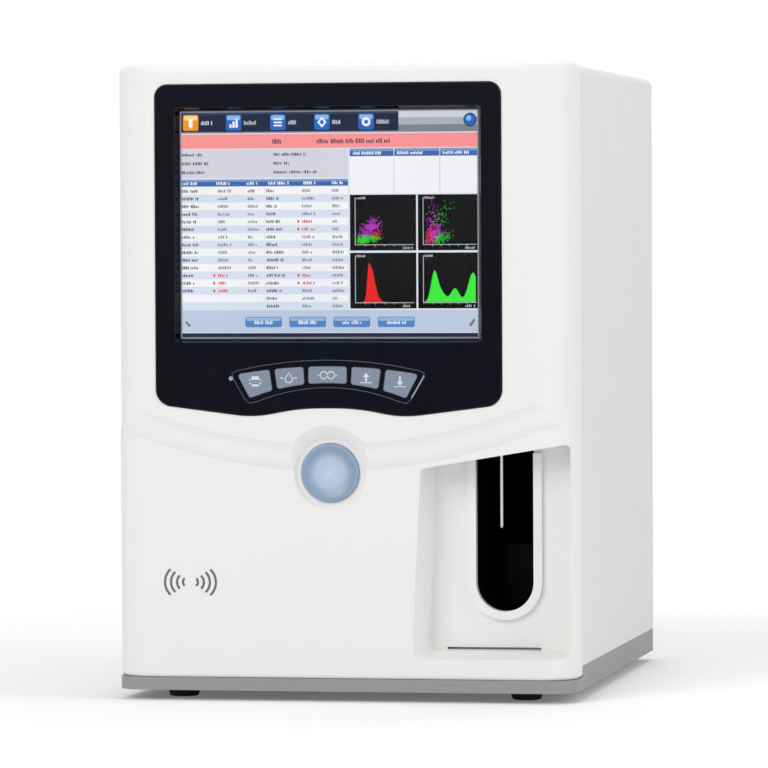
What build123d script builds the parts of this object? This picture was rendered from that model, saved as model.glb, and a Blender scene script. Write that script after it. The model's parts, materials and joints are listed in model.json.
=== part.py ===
from build123d import *
import os
from math import sqrt

# Bench-top hematology analyzer, millimetres, +Z up, the front faces -Y.
# Sizes along Y are written as distances behind the front plane of the screen surround.
# The finished pieces are moved together so that the middle of the whole object stands at the origin.

# Screen, which sets the height of the housing
PANEL_X = -9.0
SCREEN_WIDTH = 211.2
SCREEN_HEIGHT = 158.4
SCREEN_BOTTOM = 252.8
SCREEN_RECESS = 6.0
SCREEN_BEVEL = 2.5
GLASS_THICKNESS = 1.2
GLASS_MARGIN = 7.0
LCD_THICKNESS = 5.0
LCD_MARGIN = 11.0
LCD_POCKET = 0.4
BRACKET_SHEET = 0.5
BRACKET_MARGIN = 17.0
BRACKET_WINDOW = 30.0
SCREEN_Z = SCREEN_BOTTOM + SCREEN_HEIGHT / 2
SCREEN_TOP = SCREEN_BOTTOM + SCREEN_HEIGHT

# Screen surround
BEZEL_SIDE = 16.9
BEZEL_ABOVE = 18.8
BEZEL_SIDE_BOTTOM = 207.0
BEZEL_LOBE_X = 52.0
BEZEL_LOBE_Z = 198.0
BEZEL_HUMP_X = 20.0
BEZEL_HUMP_Z = 204.5
BEZEL_CORNER = 9.0
BEZEL_THICKNESS = 2.5
BEZEL_PROUD = 1.0
BEZEL_LEDGE = 6.0
BEZEL_CHAMFER = 0.6
RIM_WIDTH = 9.0
BEZEL_WIDTH = SCREEN_WIDTH + 2 * BEZEL_SIDE
BEZEL_TOP = SCREEN_TOP + BEZEL_ABOVE
BEZEL_BACK = BEZEL_THICKNESS - BEZEL_PROUD
GLASS_BACK = SCREEN_RECESS + GLASS_THICKNESS
LCD_BACK = GLASS_BACK + LCD_THICKNESS

# Body
BODY_WIDTH = 325.0
BODY_DEPTH = 405.0
FOOT_HEIGHT = 7.0
COVER_BOTTOM = 16.0
TRAY_TOP = 24.0
COVER_ABOVE = 14.0
COVER_STEP = 2.0
LIP_HEIGHT = 11.0
SEAM_Y = 40.0
WALL = 3.0
SHEET = 1.5
TOP_SHEET = 2.0
FIT = 0.3
TOP_EDGE_RADIUS = 6.0
UPPER_CORNER_RADIUS = 30.0
LOWER_CORNER_RADIUS = 22.0
TRAY_CORNER_RADIUS = 18.0
PANEL_EDGE_RADIUS = 1.2
PANEL_FOLD = 12.0
PANEL_FOLD_LOW = 210.0
HALF_WIDTH = BODY_WIDTH / 2
COVER_TOP = BEZEL_TOP + COVER_ABOVE
BODY_TOP = COVER_TOP - COVER_STEP
LIP_BOTTOM = BODY_TOP - LIP_HEIGHT
PANEL_INSIDE = HALF_WIDTH - SHEET

# Fold under the screen, a large arc centred above the screen
FOLD_DEPTH = 5.0
FOLD_RADIUS = 400.0
FOLD_LOW_Z = 160.0
FOLD_RISE = 20.0
LOWER_Y = FOLD_DEPTH

# Keys under the screen
KEY_ROW_TOP = 233.6
KEY_TOP_RADIUS = 375.0
KEY_ROW_BOTTOM = 222.0
KEY_BOTTOM_RADIUS = 150.0
KEY_CENTRE_HALF = 13.5
KEY_GAP = 3.6
KEY_MIDDLE_WIDTH = 20.5
KEY_OUTER_TOP_WIDTH = 22.8
KEY_OUTER_BOTTOM_WIDTH = 16.0
KEY_LEAN = 2.0
KEY_CORNER = 2.0
KEY_EDGE = 0.5
KEY_PROUD = 1.2
KEY_TRAVEL = 1.2
KEY_FLANGE = 1.2
KEY_FLANGE_WIDTH = 1.0
KEY_STEM_LENGTH = 1.2
KEY_STEM_RADIUS = 2.0
KEY_NAMES = ("print_key", "flush_key", "mode_key", "prime_key", "drain_key")
BOARD_THICKNESS = 1.6
DOME_HEIGHT = 1.0
DOME_RADIUS = 3.5
DOME_FOOT_RADIUS = 4.5
KEYPAD_LOW = 209.0
KEYPAD_HIGH = 240.0
KEYPAD_MARGIN = 14.0
POST_RADIUS = 2.5
POST_X = 76.0
POST_ROWS = (213.0, 236.0)
LAMP_OFFSET = 68.6
LAMP_RADIUS = 1.5
LAMP_Z = 225.2
LAMP_PROUD = 0.4
KEY_FACE_Y = -BEZEL_PROUD - KEY_PROUD
KEY_BACK_Y = BEZEL_BACK + FIT + KEY_FLANGE
KEY_STEM_END = KEY_BACK_Y + KEY_STEM_LENGTH
DOME_TOP_Y = KEY_STEM_END + KEY_TRAVEL + FIT
KEYPAD_Y = DOME_TOP_Y + DOME_HEIGHT

# Start key
START_Z = 159.4
START_RADIUS = 20.5
START_TRAVEL = 2.5
START_PROUD = 1.5
START_DISH = 1.8
START_RIM = 3.0
START_HOOK = 2.0
START_HOOK_THICKNESS = 1.5
START_STEM_RADIUS = 2.5
START_STEM_LENGTH = 6.0
DISH_RADIUS = 33.0
DISH_FLOOR_RADIUS = 23.5
DISH_DEPTH = 1.5
GUIDE_WALL = 6.0
GUIDE_LENGTH = 8.0
HOLDER_WALL = 2.5
HOLDER_PLATE = 2.0
SWITCH_HEIGHT_Y = 4.0
SWITCH_HALF = 3.0
SPRING_TURNS = 3
SPRING_PITCH = 1.6
SPRING_RADIUS = 7.5
SPRING_WIRE = 1.9
SPRING_TAPER = 0.8
GUIDE_OUTER = START_RADIUS + GUIDE_WALL
GUIDE_END = LOWER_Y + GUIDE_LENGTH
START_BACK_Y = LOWER_Y + 5.0
START_STEM_END = START_BACK_Y + START_STEM_LENGTH
HOLDER_INNER = GUIDE_OUTER - HOLDER_WALL
HOLDER_PLATE_Y = START_STEM_END + START_TRAVEL + FIT + SWITCH_HEIGHT_Y

# Sampling recess, measured from the right wall of the housing
BAY_RIGHT_WALL = 4.0
BAY_LEFT_TOP = HALF_WIDTH - 107.7
BAY_LEFT_BOTTOM = HALF_WIDTH - 114.0
BAY_LEFT_SLOPE = 7.5
BAY_CEILING_Z = 162.4
BAY_CEILING_SLOPE = 0.165
BAY_LIP_Z = 30.3
BAY_FLOOR_RISE = 5.2
BAY_DEPTH = 28.0
BAY_CORNER = 6.0
BAY_BACK_Y = LOWER_Y + BAY_DEPTH
SLOT_X = HALF_WIDTH - 52.7
SLOT_RADIUS = 20.25
SLOT_BOTTOM = 62.2
COLLAR_WIDTH = 6.0
COLLAR_PROUD = 3.5
DRIP_X = SLOT_X - 8.0
DRIP_WIDTH = 66.0
DRIP_GAP = 3.5
DRIP_HEIGHT = 1.5
DRIP_TRAY_MARGIN = 4.0
DRIP_TRAY_FRONT = 18.0
DRIP_TRAY_WALL = 1.5

# Sampling mechanism
PROBE_Y = 18.0
PROBE_TIP_Z = 121.3
PROBE_RADIUS = 1.0
PROBE_BORE = 0.4
PROBE_TIP_LENGTH = 2.0
PROBE_LENGTH = 141.0
CARRIAGE_TRAVEL = 150.0
ARM_Z = 237.0
ARM_HEIGHT = 10.0
ARM_WIDTH = 10.0
ARM_NOSE = 4.0
ROD_Y = 80.0
GUIDE_ROD_X = SLOT_X - 1.8
GUIDE_ROD_RADIUS = 3.0
SCREW_X = SLOT_X - 19.8
SCREW_RADIUS = 3.0
SLIDER_HEIGHT = 24.0
SLIDER_HALF_DEPTH = 9.0
SLIDER_LEFT = 8.0
SLIDER_RIGHT = 7.0
RAIL_Z = 302.0
RAIL_WIDTH = 12.0
RAIL_HEIGHT = 6.0
RAIL_START = 50.0
RAIL_END = 300.0
RUNNER_HALF = 14.0
SAMPLING_PLATE_X = SLOT_X + 26.2
SAMPLING_PLATE_THICKNESS = 2.0
SAMPLING_PLATE_TOP = 362.0
CARRIAGE_START = 62.0
CARRIAGE_LENGTH = 44.0
CARRIAGE_PLATE_X = SLOT_X + 8.2
CARRIAGE_PLATE_THICKNESS = 5.0
FLANGE_LOW = 186.0
FLANGE_HIGH = 325.0
FLANGE_THICKNESS = 5.0
FLANGE_HALF = 14.0
WASH_HALF = 7.0
WASH_HEIGHT = 13.0
WASH_CORNER = 2.0
STUB_LENGTH = 5.0
STUB_RADIUS = 1.2
MOTOR_SMALL = 28.0
MOTOR_CORNER = 4.0
SLIDER_MOTOR_HEIGHT = 28.0
CARRIAGE_MOTOR_HALF = 21.0
CARRIAGE_MOTOR_DEPTH = 17.0
PULLEY_RADIUS = 8.0
PULLEY_FLANGE = 1.0
BELT_THICKNESS = 1.4
BELT_WIDTH = 6.0
BELT_Z = 334.0
BELT_X = SLOT_X + 18.2
IDLER_Y = 58.0
DRIVE_Y = 290.0
SHAFT_RADIUS = 2.5
SHAFT_FIT = 0.05

# Black duct round the probe's way back, which keeps daylight out
LINER_TOP = 178.0
LINER_WALL = 1.5
LINER_LENGTH = 74.0
DUCT_LOW = 54.0
DUCT_SIDE_GAP = 3.5
DUCT_BACK_GAP = 3.0
LINER_START = BAY_BACK_Y + WALL
LINER_END = LINER_START + LINER_LENGTH

# Baths under the probe's way
BATH_Y = (128.0, PROBE_Y + CARRIAGE_TRAVEL)
BATH_TOP = 104.0
BATH_LOW = 58.0
BATH_RADIUS = 11.0
BATH_CONE_Z = 76.0
BATH_CUP_Z = 64.0
BATH_HALF = 17.0
BATH_FRONT_WALL = 15.5
BATH_BACK_WALL = 17.0
BATH_CORNER = 4.0
BATH_LEG = 4.0
BATH_LEG_HALF = 14.0

# Frame
CHASSIS_SHEET = 1.5
CHASSIS_FLOOR = 2.0
BOSS_RADIUS = 3.8
BOSS_HOLE = 1.6
BOSS_DEPTH = 15.0
BOSS_END = SEAM_Y + 4.0
BOSS_X = HALF_WIDTH - 18.9
BOSS_PLACES = [(-BOSS_X, 34.0), (-BOSS_X, BODY_TOP - 18), (BOSS_X, BODY_TOP - 18), (BOSS_X, 200.0)]
CHASSIS_FRONT = BOSS_END
CHASSIS_BACK = BODY_DEPTH - TOP_SHEET
PORTAL_LEFT = 22.0
PORTAL_LOW = 42.0
PORTAL_TOP_BAND = 16.0
PORTAL_CORNER = 8.0
SIDE_WINDOW_START = 26.0
SIDE_WINDOW_END = 23.0
SIDE_WINDOW_ROWS = ((60.0, 200.0), (240.0, LIP_BOTTOM - 31))
SIDE_WINDOW_CORNER = 10.0
SIDE_POST = 20.0
FLOOR_Z = TRAY_TOP + CHASSIS_FLOOR
SIDE_INSIDE = PANEL_INSIDE - CHASSIS_SHEET
INSIDE_BACK = BODY_DEPTH - 33.0

# Base
RIB_COUNT = 3
FOOT_RADIUS = 12.0
FOOT_TAPER = 2.0
FOOT_ROUND = 1.5
FOOT_INSET_X = 40.0
FOOT_INSET_Y = 45.0

# Shelf with the optics and the main board
SHELF_Z = 240.0
SHELF_SHEET = 2.0
SHELF_RIGHT = SLOT_X - 47.8
SHELF_START = 146.0
SHELF_LEG_WINDOW = (24.0, 22.0, 50.0, 210.0)
BENCH_LEFT = -SIDE_INSIDE + 19.5
BENCH_LENGTH = 190.0
BENCH_Y = 210.0
BENCH_HALF = 45.0
BENCH_THICKNESS = 8.0
BEAM_HEIGHT = 32.0
LASER_RADIUS = 13.0
LASER_LENGTH = 72.0
LASER_CLAMPS = (15.0, 50.0)
CLAMP_HALF = (5.0, 15.0)
CLAMP_TOP = 22.0
BEAM_TUBE_RADIUS = 5.0
FLOW_CELL_OFFSET = 100.0
FLOW_CELL_LENGTH = 30.0
FLOW_CELL_TOP = 52.0
FLOW_CELL_NECK_RADIUS = 6.0
FLOW_CELL_NECK_TOP = 68.0
DETECTOR_OFFSET = 150.0
DETECTOR_LENGTH = 32.0
DETECTOR_HALF = 18.0
DETECTOR_TOP = 50.0
DETECTOR_TUBE_RADIUS = 8.0
SIDE_DETECTOR_START = 26.0
SIDE_DETECTOR_TOP = 46.0
SIDE_DETECTOR_TUBE_RADIUS = 7.0
MAIN_BOARD_WIDTH = 200.0
MAIN_BOARD_DEPTH = 98.0
MAIN_BOARD_HEIGHT = 10.0
MAIN_BOARD_LEFT = -SIDE_INSIDE + 9.5
MAIN_BOARD_INSET = 5.0
MAIN_POST_RADIUS = 3.0
PROCESSOR_PLACE = (70.0, 32.0)
PROCESSOR_SIZE = 30.0
PROCESSOR_TOP = 8.0
MEMORY_PLACE = (130.0, 22.0)
MEMORY_SIZE = 20.0
MEMORY_TOP = 5.0
SOCKET_COUNT = 4
SOCKET_PITCH = 14.0
SOCKET_WIDTH = 10.0
SOCKET_DEPTH = 18.0
SOCKET_TOP = 11.0

# Syringes
SYRINGE_X = (-HALF_WIDTH + 34.5, -HALF_WIDTH + 74.5)
SYRINGE_SIDE = 20.0
SYRINGE_Y = 86.0
SYRINGE_SCREW_Y = 104.0
SYRINGE_PLATE_Y = 116.0
SYRINGE_PLATE = 3.0
SYRINGE_PLATE_TOP = 250.0
CLAMP_HEIGHT = 8.0
BARREL_LOW = 160.0
BARREL_HIGH = 232.0
BARREL_RADIUS = (5.0, 8.0)
BARREL_WALL = 1.5
BARREL_NECK_RADIUS = 3.0
BARREL_NECK_BORE = 1.0
BARREL_CONE = 5.0
BARREL_NECK = 5.0
PLUNGER_FIT = 0.05
PLUNGER_ROD_RADIUS = 2.5
PLUNGER_HEAD = 10.0
PLUNGER_HEAD_BELOW = 14.0
PLUNGER_TIP = 1.5
PUSHER_Z = 128.0
PUSHER_HEIGHT = 12.0
PUSHER_HALF = 7.0
PUSHER_MARGIN = 8.0
SYRINGE_MOTOR_TOP = 64.0

# Valves, pumps and waste
VALVE_SIZE = 18.0
VALVE_HEIGHT = 24.0
VALVE_DEPTH = 26.0
VALVE_PITCH = 24.0
VALVE_ROWS = (60.0, 110.0)
VALVE_PLATE_Y = 78.0
VALVE_PLATE = 4.0
VALVE_PLATE_TOP = 150.0
VALVE_NOSE_RADIUS = 5.0
VALVE_NOSE = 5.5
PUMP_PLACES = (150.0, 205.0)
PUMP_LEFT = SLOT_X - 155.8
PUMP_HEAD_LENGTH = 32.0
PUMP_HEAD_HALF = 16.0
PUMP_HEAD_HEIGHT = 38.0
PUMP_CORNER = 3.0
PUMP_MOTOR_RADIUS = 15.0
PUMP_MOTOR_LENGTH = 50.0
PUMP_MOTOR_HEIGHT = 17.0
PUMP_FOOT = (14.0, 20.0, 10.0, 4.0)
PUMP_STUB_HEIGHT = 30.0
PUMP_STUB_RADIUS = 2.0
PUMP_STUBS = (10.0, 22.0)
WASTE_X = SLOT_X - 5.8
WASTE_Y = 245.0
WASTE_RADIUS = 26.0
WASTE_NECK_RADIUS = 12.0
WASTE_CAP_RADIUS = 15.0
WASTE_SHOULDER_Z = 120.0
WASTE_NECK_Z = 132.0
WASTE_CAP_Z = 138.0
WASTE_TOP = 150.0

# Power supply
SUPPLY_WIDTH = 100.0
SUPPLY_LENGTH = 152.0
SUPPLY_HEIGHT = 46.0
SUPPLY_LEFT = -HALF_WIDTH + 12.5
SUPPLY_VENTS = 7
SUPPLY_VENT_PITCH = 16.0
SUPPLY_VENT_INSET = 10.0

# Back of the instrument
REAR_REACH = 18.0
FAN_X = 0.0
FAN_Z = LIP_BOTTOM - 81.0
FAN_SIZE = 80.0
FAN_DEPTH = 25.0
FAN_BORE = 38.0
FAN_HUB = 18.0
FAN_BLADES = 7
FAN_CORNER = 5.0
FAN_HOLE_OFFSET = 35.75
FAN_HOLE_RADIUS = 2.2
FAN_SPOKE = 3.0
FAN_FRONT_GAP = 1.5
BLADE_THICKNESS = 1.6
BLADE_ROOT = (16.0, 52.0)
BLADE_TIP = (18.0, 34.0)
BLADE_OVERLAP = 1.5
GUARD_RADII = (12.0, 20.0, 28.0, 36.0, 44.0)
GUARD_BAND = 2.2
GUARD_BAR = 3.0
GUARD_EAR_RADIUS = 4.2
FAN_Y1 = CHASSIS_BACK
FAN_Y0 = FAN_Y1 - FAN_DEPTH
INLET_X = -HALF_WIDTH + 44.5
INLET_Z = 62.0
INLET_WIDTH = 27.0
INLET_HEIGHT = 20.0
SWITCH_X = INLET_X + 34.0
SWITCH_WIDTH = 13.0
SWITCH_HEIGHT = 20.0
INLET_MARGIN = 2.0
INLET_CUT_HALF = 13.0
INLET_DEPTH = 24.0
INLET_FLANGE = 2.5
INLET_FLANGE_MARGIN = 5.0
INLET_FLOOR = 6.0
INLET_PINS = ((-7.0, -2.5), (7.0, -2.5), (0.0, 3.5))
PIN_HALF = (1.0, 2.0)
PIN_END = 3.0
ROCKER_PIN_Y = BODY_DEPTH - 7.0
ROCKER_PIN_RADIUS = 1.5
ROCKER_HEIGHT_FIT = 1.2
ROCKER_PROUD = 2.2
ROCKER_DIP = 1.4
ROCKER_FOOT = 4.0
ROCKER_TILT = 8.0
REAGENT_X = tuple(HALF_WIDTH - 88.5 + 22.0 * k for k in range(4))
REAGENT_Z = 70.0
REAGENT_HOLE = 4.0
NIPPLE_BORE = 1.5
NIPPLE_TIP = 3.0
NIPPLE_BARB = 0.8
NIPPLE_THREAD = 3.4
NIPPLE_FLANGE = 7.0
NIPPLE_FLANGE_THICKNESS = 4.0
NIPPLE_INSIDE = 12.0
NUT_THICKNESS = 5.0
PORT_X = -HALF_WIDTH + 52.5
PORT_SIZES = ((13.0, 15.0, 330.0), (16.0, 13.5, 305.0), (31.0, 12.5, 280.0), (16.0, 13.5, 255.0))
PORT_WALL = 1.0
PORT_DEPTH = 16.0
PORT_FLOOR = 4.0
PORT_PROUD = 1.5
PORT_BOARD_HALF = 24.0
PORT_BOARD_ROWS = (240.0, 345.0)
PORT_POST_X = 20.5
PORT_POST_INSET = 6.0
PORT_WINDOW_HALF = 17.0
PORT_WINDOW_ROWS = (246.5, 339.5)
PORT_PLATE_HALF = 23.0
PORT_PLATE_MARGIN = 7.5
PORT_PLATE_THICKNESS = 1.0
PORT_SCREW_MARGIN = 3.7
VENT_ROWS = 8
VENT_LOW = 160.0
VENT_PITCH = 10.0
VENT_X = (-60.0, -20.0, 20.0, 60.0)
VENT_HALF = 15.0
VENT_HEIGHT = 4.0
PANEL_SCREW_X = HALF_WIDTH - 14.5
PANEL_SCREW_ROWS = (TRAY_TOP + 16, 228.0, LIP_BOTTOM - 13)
SCREW_HEAD = 3.0
SCREW_RIM = 1.0
SCREW_HEAD_HEIGHT = 2.0

# Reader board behind the wireless sign
READER_X = -HALF_WIDTH + 54.0
READER_HALF = 25.5
READER_ROWS = (60.0, 106.0)
READER_CORNER = 3.0

# Where the finished pieces stand
FRONT_REACH = BEZEL_PROUD + KEY_PROUD
FRONT_SHIFT = -(BODY_DEPTH + REAR_REACH - FRONT_REACH) / 2
CUT = 1.0


def slab(x0, x1, y0, y1, z0, z1):
    return Pos((x0 + x1) / 2, (y0 + y1) / 2, (z0 + z1) / 2) * Box(x1 - x0, y1 - y0, z1 - z0)


def rod_x(y, z, x0, x1, radius):
    return Pos((x0 + x1) / 2, y, z) * Rot(0, 90, 0) * Cylinder(radius, x1 - x0)


def rod_y(x, z, y0, y1, radius):
    return Pos(x, (y0 + y1) / 2, z) * Rot(90, 0, 0) * Cylinder(radius, y1 - y0)


def rod_z(x, y, z0, z1, radius):
    return Pos(x, y, (z0 + z1) / 2) * Cylinder(radius, z1 - z0)


def outline(points, radii):
    return make_face(FilletPolyline(*points, radius=radii, close=True))


def rounded(x0, x1, z0, z1, radius):
    return outline([(x0, z0), (x1, z0), (x1, z1), (x0, z1)], radius)


def along_x(face, x0, x1):
    return extrude(Plane.YZ.offset(x0) * face, x1 - x0, dir=(1, 0, 0))


def along_y(face, y0, y1):
    return extrude(Plane.XZ.offset(-y0) * face, y1 - y0, dir=(0, 1, 0))


def along_z(face, z0, z1):
    return extrude(Plane.XY.offset(z0) * face, z1 - z0, dir=(0, 0, 1))


def turned_y(points, radii, x, z):
    """Turned about a line along Y; the points are (radius, y)."""
    return Pos(x, 0, z) * revolve(outline(points, radii), Axis.Y)


def turned_z(points, radii, x, y):
    """Turned about a line along Z; the points are (radius, z)."""
    return Pos(x, y, 0) * revolve(Plane.XZ * outline(points, radii), Axis.Z)


def save(name, *pieces):
    solids = [solid for piece in pieces for solid in piece.solids()]
    shape = solids[0] if len(solids) == 1 else Compound(solids)
    export_step(Pos(0, FRONT_SHIFT, 0) * shape, f"parts/{name}.step")


# Front cover

def cover_block(inset, front_y, corner_radius, back_y):
    """Block with round front corners and rounded top and bottom edges, open towards the back."""
    half = HALF_WIDTH - inset
    front = front_y + inset
    corner = corner_radius - inset
    edge = TOP_EDGE_RADIUS - inset
    plan = outline(
        [(-half, back_y), (-half, front), (half, front), (half, back_y)], [0, corner, corner, 0]
    )
    block = along_z(plan, COVER_BOTTOM + inset, COVER_TOP - inset)
    for place, radius in ((-1, edge), (0, edge / 2)):
        loop = block.faces().sort_by(Axis.Z)[place]
        seam = loop.edges().sort_by(Axis.Y)[-1]
        block = fillet([e for e in loop.edges() if e != seam], radius)
    return block


def fold_disc(inset):
    """Disc behind the screen zone; its rim is the S-shaped fold."""
    rim = FOLD_RADIUS - inset
    start = inset - FIT
    end = inset + FOLD_DEPTH + FIT
    back = SEAM_Y + 10
    middle = (start + end) / 2
    high = rim - FOLD_RISE
    bend = (FOLD_RISE ** 2 + (end - start) ** 2) / (4 * (end - start))
    centre = (high + rim) / 2
    edges = [
        Line((0, start - CUT), (high, start - CUT)),
        Line((high, start - CUT), (high, start)),
        RadiusArc((high, start), (centre, middle), bend),
        RadiusArc((centre, middle), (rim, end), -bend),
        Line((rim, end), (rim, back)),
        Line((rim, back), (0, back)),
        Line((0, back), (0, start - CUT)),
    ]
    disc = revolve(make_face(edges), Axis.Y)
    return Pos(PANEL_X, 0, FOLD_LOW_Z + FOLD_RADIUS) * disc


def cover_form(inset, back_y):
    disc = fold_disc(inset)
    upper = cover_block(inset, 0, UPPER_CORNER_RADIUS, back_y) & disc
    lower = cover_block(inset, LOWER_Y, LOWER_CORNER_RADIUS, back_y) - disc
    return upper + lower


def bay_ceiling(x):
    return BAY_CEILING_Z + BAY_CEILING_SLOPE * (x - BAY_LEFT_TOP)


def bay_section(depth, grow):
    """Outline of the recess at a depth behind the lower face, grown by a wall."""
    lean = BAY_LEFT_SLOPE * depth / BAY_DEPTH
    floor = BAY_LIP_Z + BAY_FLOOR_RISE * depth / BAY_DEPTH - grow
    right = HALF_WIDTH - BAY_RIGHT_WALL + grow
    left_low = BAY_LEFT_BOTTOM + lean - grow
    left_high = BAY_LEFT_TOP + lean - grow
    points = [
        (left_low, floor),
        (right, floor),
        (right, bay_ceiling(right) + grow),
        (left_high, bay_ceiling(left_high) + grow),
    ]
    corner = BAY_CORNER + grow
    return outline(points, [corner, corner, corner / 2, corner / 2])


def bay_solid(start, end, grow):
    near = Plane.XZ.offset(-(LOWER_Y + start)) * bay_section(start, grow)
    far = Plane.XZ.offset(-(LOWER_Y + end)) * bay_section(end, grow)
    return loft([near, far], ruled=True)


def slot_face(half, top):
    """U-shaped opening with a half-round foot; half is its half width."""
    centre = SLOT_BOTTOM + SLOT_RADIUS
    edges = [
        ThreePointArc((SLOT_X + half, centre), (SLOT_X, centre - half), (SLOT_X - half, centre)),
        Line((SLOT_X - half, centre), (SLOT_X - half, top)),
        Line((SLOT_X - half, top), (SLOT_X + half, top)),
        Line((SLOT_X + half, top), (SLOT_X + half, centre)),
    ]
    return make_face(edges)


def bezel_face(inset):
    """Outline of the screen surround, with two lobes and a shallow notch at its foot."""
    half = BEZEL_WIDTH / 2 - inset
    points = [
        (PANEL_X - half, BEZEL_TOP - inset),
        (PANEL_X - half, BEZEL_SIDE_BOTTOM + inset),
        (PANEL_X - BEZEL_LOBE_X, BEZEL_LOBE_Z + inset),
        (PANEL_X - BEZEL_HUMP_X, BEZEL_HUMP_Z + inset),
        (PANEL_X + BEZEL_HUMP_X, BEZEL_HUMP_Z + inset),
        (PANEL_X + BEZEL_LOBE_X, BEZEL_LOBE_Z + inset),
        (PANEL_X + half, BEZEL_SIDE_BOTTOM + inset),
        (PANEL_X + half, BEZEL_TOP - inset),
    ]
    corner = BEZEL_CORNER - inset / 2
    return outline(points, [corner, 12, 80, 150, 150, 80, 12, corner])


def cut_sampling_recess(shell, outer):
    """Recess with its raised collar, its slot, the notch of the probe's arm and the drip slot."""
    shell += bay_solid(1.0, BAY_DEPTH + WALL, WALL) & outer
    shell -= bay_solid(-20.0, BAY_DEPTH, 0)
    collar_top = bay_ceiling(SLOT_X) + 1
    collar_front = BAY_BACK_Y - COLLAR_PROUD
    shell += along_y(slot_face(SLOT_RADIUS + COLLAR_WIDTH, collar_top), collar_front, BAY_BACK_Y + 1)
    slot_top = bay_ceiling(SLOT_X + SLOT_RADIUS) + 3 * WALL
    shell -= along_y(slot_face(SLOT_RADIUS, slot_top), collar_front - CUT, SEAM_Y + CUT)
    notch = ARM_WIDTH / 2 + 2
    shell -= slab(SLOT_X - notch, SLOT_X + notch, PROBE_Y - notch, BAY_BACK_Y, BAY_CEILING_Z - 1, slot_top)
    floor_z = BAY_LIP_Z + BAY_FLOOR_RISE
    x0 = DRIP_X - DRIP_WIDTH / 2
    x1 = DRIP_X + DRIP_WIDTH / 2
    shell -= slab(x0, x1, BAY_BACK_Y - DRIP_GAP, BAY_BACK_Y, BAY_LIP_Z - WALL, floor_z + DRIP_HEIGHT)
    return shell - slab(x0, x1, BAY_BACK_Y - CUT, SEAM_Y, floor_z, floor_z + DRIP_HEIGHT)


def cut_start_seat(shell, outer):
    """Dished seat and guide of the start key."""
    floor_y = LOWER_Y + DISH_DEPTH
    shell += rod_y(PANEL_X, START_Z, 1.0, floor_y + WALL, DISH_RADIUS + 1) & outer
    shell += rod_y(PANEL_X, START_Z, floor_y, GUIDE_END, GUIDE_OUTER)
    shell -= turned_y(
        [(0, 0), (DISH_RADIUS, 0), (DISH_FLOOR_RADIUS, floor_y), (0, floor_y)],
        [0, 0, 3, 0],
        PANEL_X,
        START_Z,
    )
    return shell - rod_y(PANEL_X, START_Z, -CUT, GUIDE_END + CUT, START_RADIUS + FIT)


def front_cover():
    outer = cover_form(0, SEAM_Y)
    shell = outer - cover_form(WALL, SEAM_Y + 2)
    shell = cut_sampling_recess(shell, outer)
    shell -= along_y(bezel_face(-FIT / 2), -BEZEL_PROUD, BEZEL_BACK)
    shell -= along_y(bezel_face(BEZEL_LEDGE), -BEZEL_PROUD, WALL + FOLD_DEPTH)
    shell = cut_start_seat(shell, outer)
    behind = slab(
        FIT - PANEL_INSIDE, PANEL_INSIDE - FIT, SEAM_Y, BOSS_END, TRAY_TOP, LIP_BOTTOM
    )
    for x, z in BOSS_PLACES:
        shell += rod_y(x, z, WALL, BOSS_END, BOSS_RADIUS) & (outer + behind)
        shell -= rod_y(x, z, BOSS_END - BOSS_DEPTH, BOSS_END, BOSS_HOLE)
    return shell


# Screen, keys and their boards

def screen_face(margin, corner):
    half_w = SCREEN_WIDTH / 2 + margin
    half_h = SCREEN_HEIGHT / 2 + margin
    return rounded(PANEL_X - half_w, PANEL_X + half_w, SCREEN_Z - half_h, SCREEN_Z + half_h, corner)


def key_top(x):
    return KEY_ROW_TOP - KEY_TOP_RADIUS + sqrt(KEY_TOP_RADIUS ** 2 - x ** 2)


def key_bottom(x):
    return KEY_ROW_BOTTOM - KEY_BOTTOM_RADIUS + sqrt(KEY_BOTTOM_RADIUS ** 2 - x ** 2)


def key_limits(index):
    """Left and right ends of a key's top and bottom edges, from the middle of the row."""
    if index == 2:
        return (-KEY_CENTRE_HALF, KEY_CENTRE_HALF), (-KEY_CENTRE_HALF, KEY_CENTRE_HALF)
    inner = KEY_CENTRE_HALF + KEY_GAP
    top = (inner, inner + KEY_MIDDLE_WIDTH)
    bottom = (inner - 0.3 * KEY_LEAN, inner + KEY_MIDDLE_WIDTH - KEY_LEAN)
    if index in (0, 4):
        start = inner + KEY_MIDDLE_WIDTH + KEY_GAP
        top = (start, start + KEY_OUTER_TOP_WIDTH)
        bottom = (start - KEY_LEAN, start - KEY_LEAN + KEY_OUTER_BOTTOM_WIDTH)
    if index < 2:
        return (-top[1], -top[0]), (-bottom[1], -bottom[0])
    return top, bottom


def key_face(index, grow):
    (top_left, top_right), (low_left, low_right) = key_limits(index)
    top_left -= grow
    low_left -= grow
    top_right += grow
    low_right += grow
    top_mid = (top_left + top_right) / 2
    low_mid = (low_left + low_right) / 2
    a = (PANEL_X + top_left, key_top(top_left) + grow)
    b = (PANEL_X + top_right, key_top(top_right) + grow)
    c = (PANEL_X + low_right, key_bottom(low_right) - grow)
    d = (PANEL_X + low_left, key_bottom(low_left) - grow)
    edges = [
        ThreePointArc(a, (PANEL_X + top_mid, key_top(top_mid) + grow), b),
        Line(b, c),
        ThreePointArc(c, (PANEL_X + low_mid, key_bottom(low_mid) - grow), d),
        Line(d, a),
    ]
    face = make_face(edges)
    return fillet(face.vertices(), KEY_CORNER + grow)


def key_centre(index):
    (top_left, top_right), (low_left, low_right) = key_limits(index)
    x = (top_left + top_right + low_left + low_right) / 4
    return PANEL_X + x, (key_top(x) + key_bottom(x)) / 2


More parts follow.
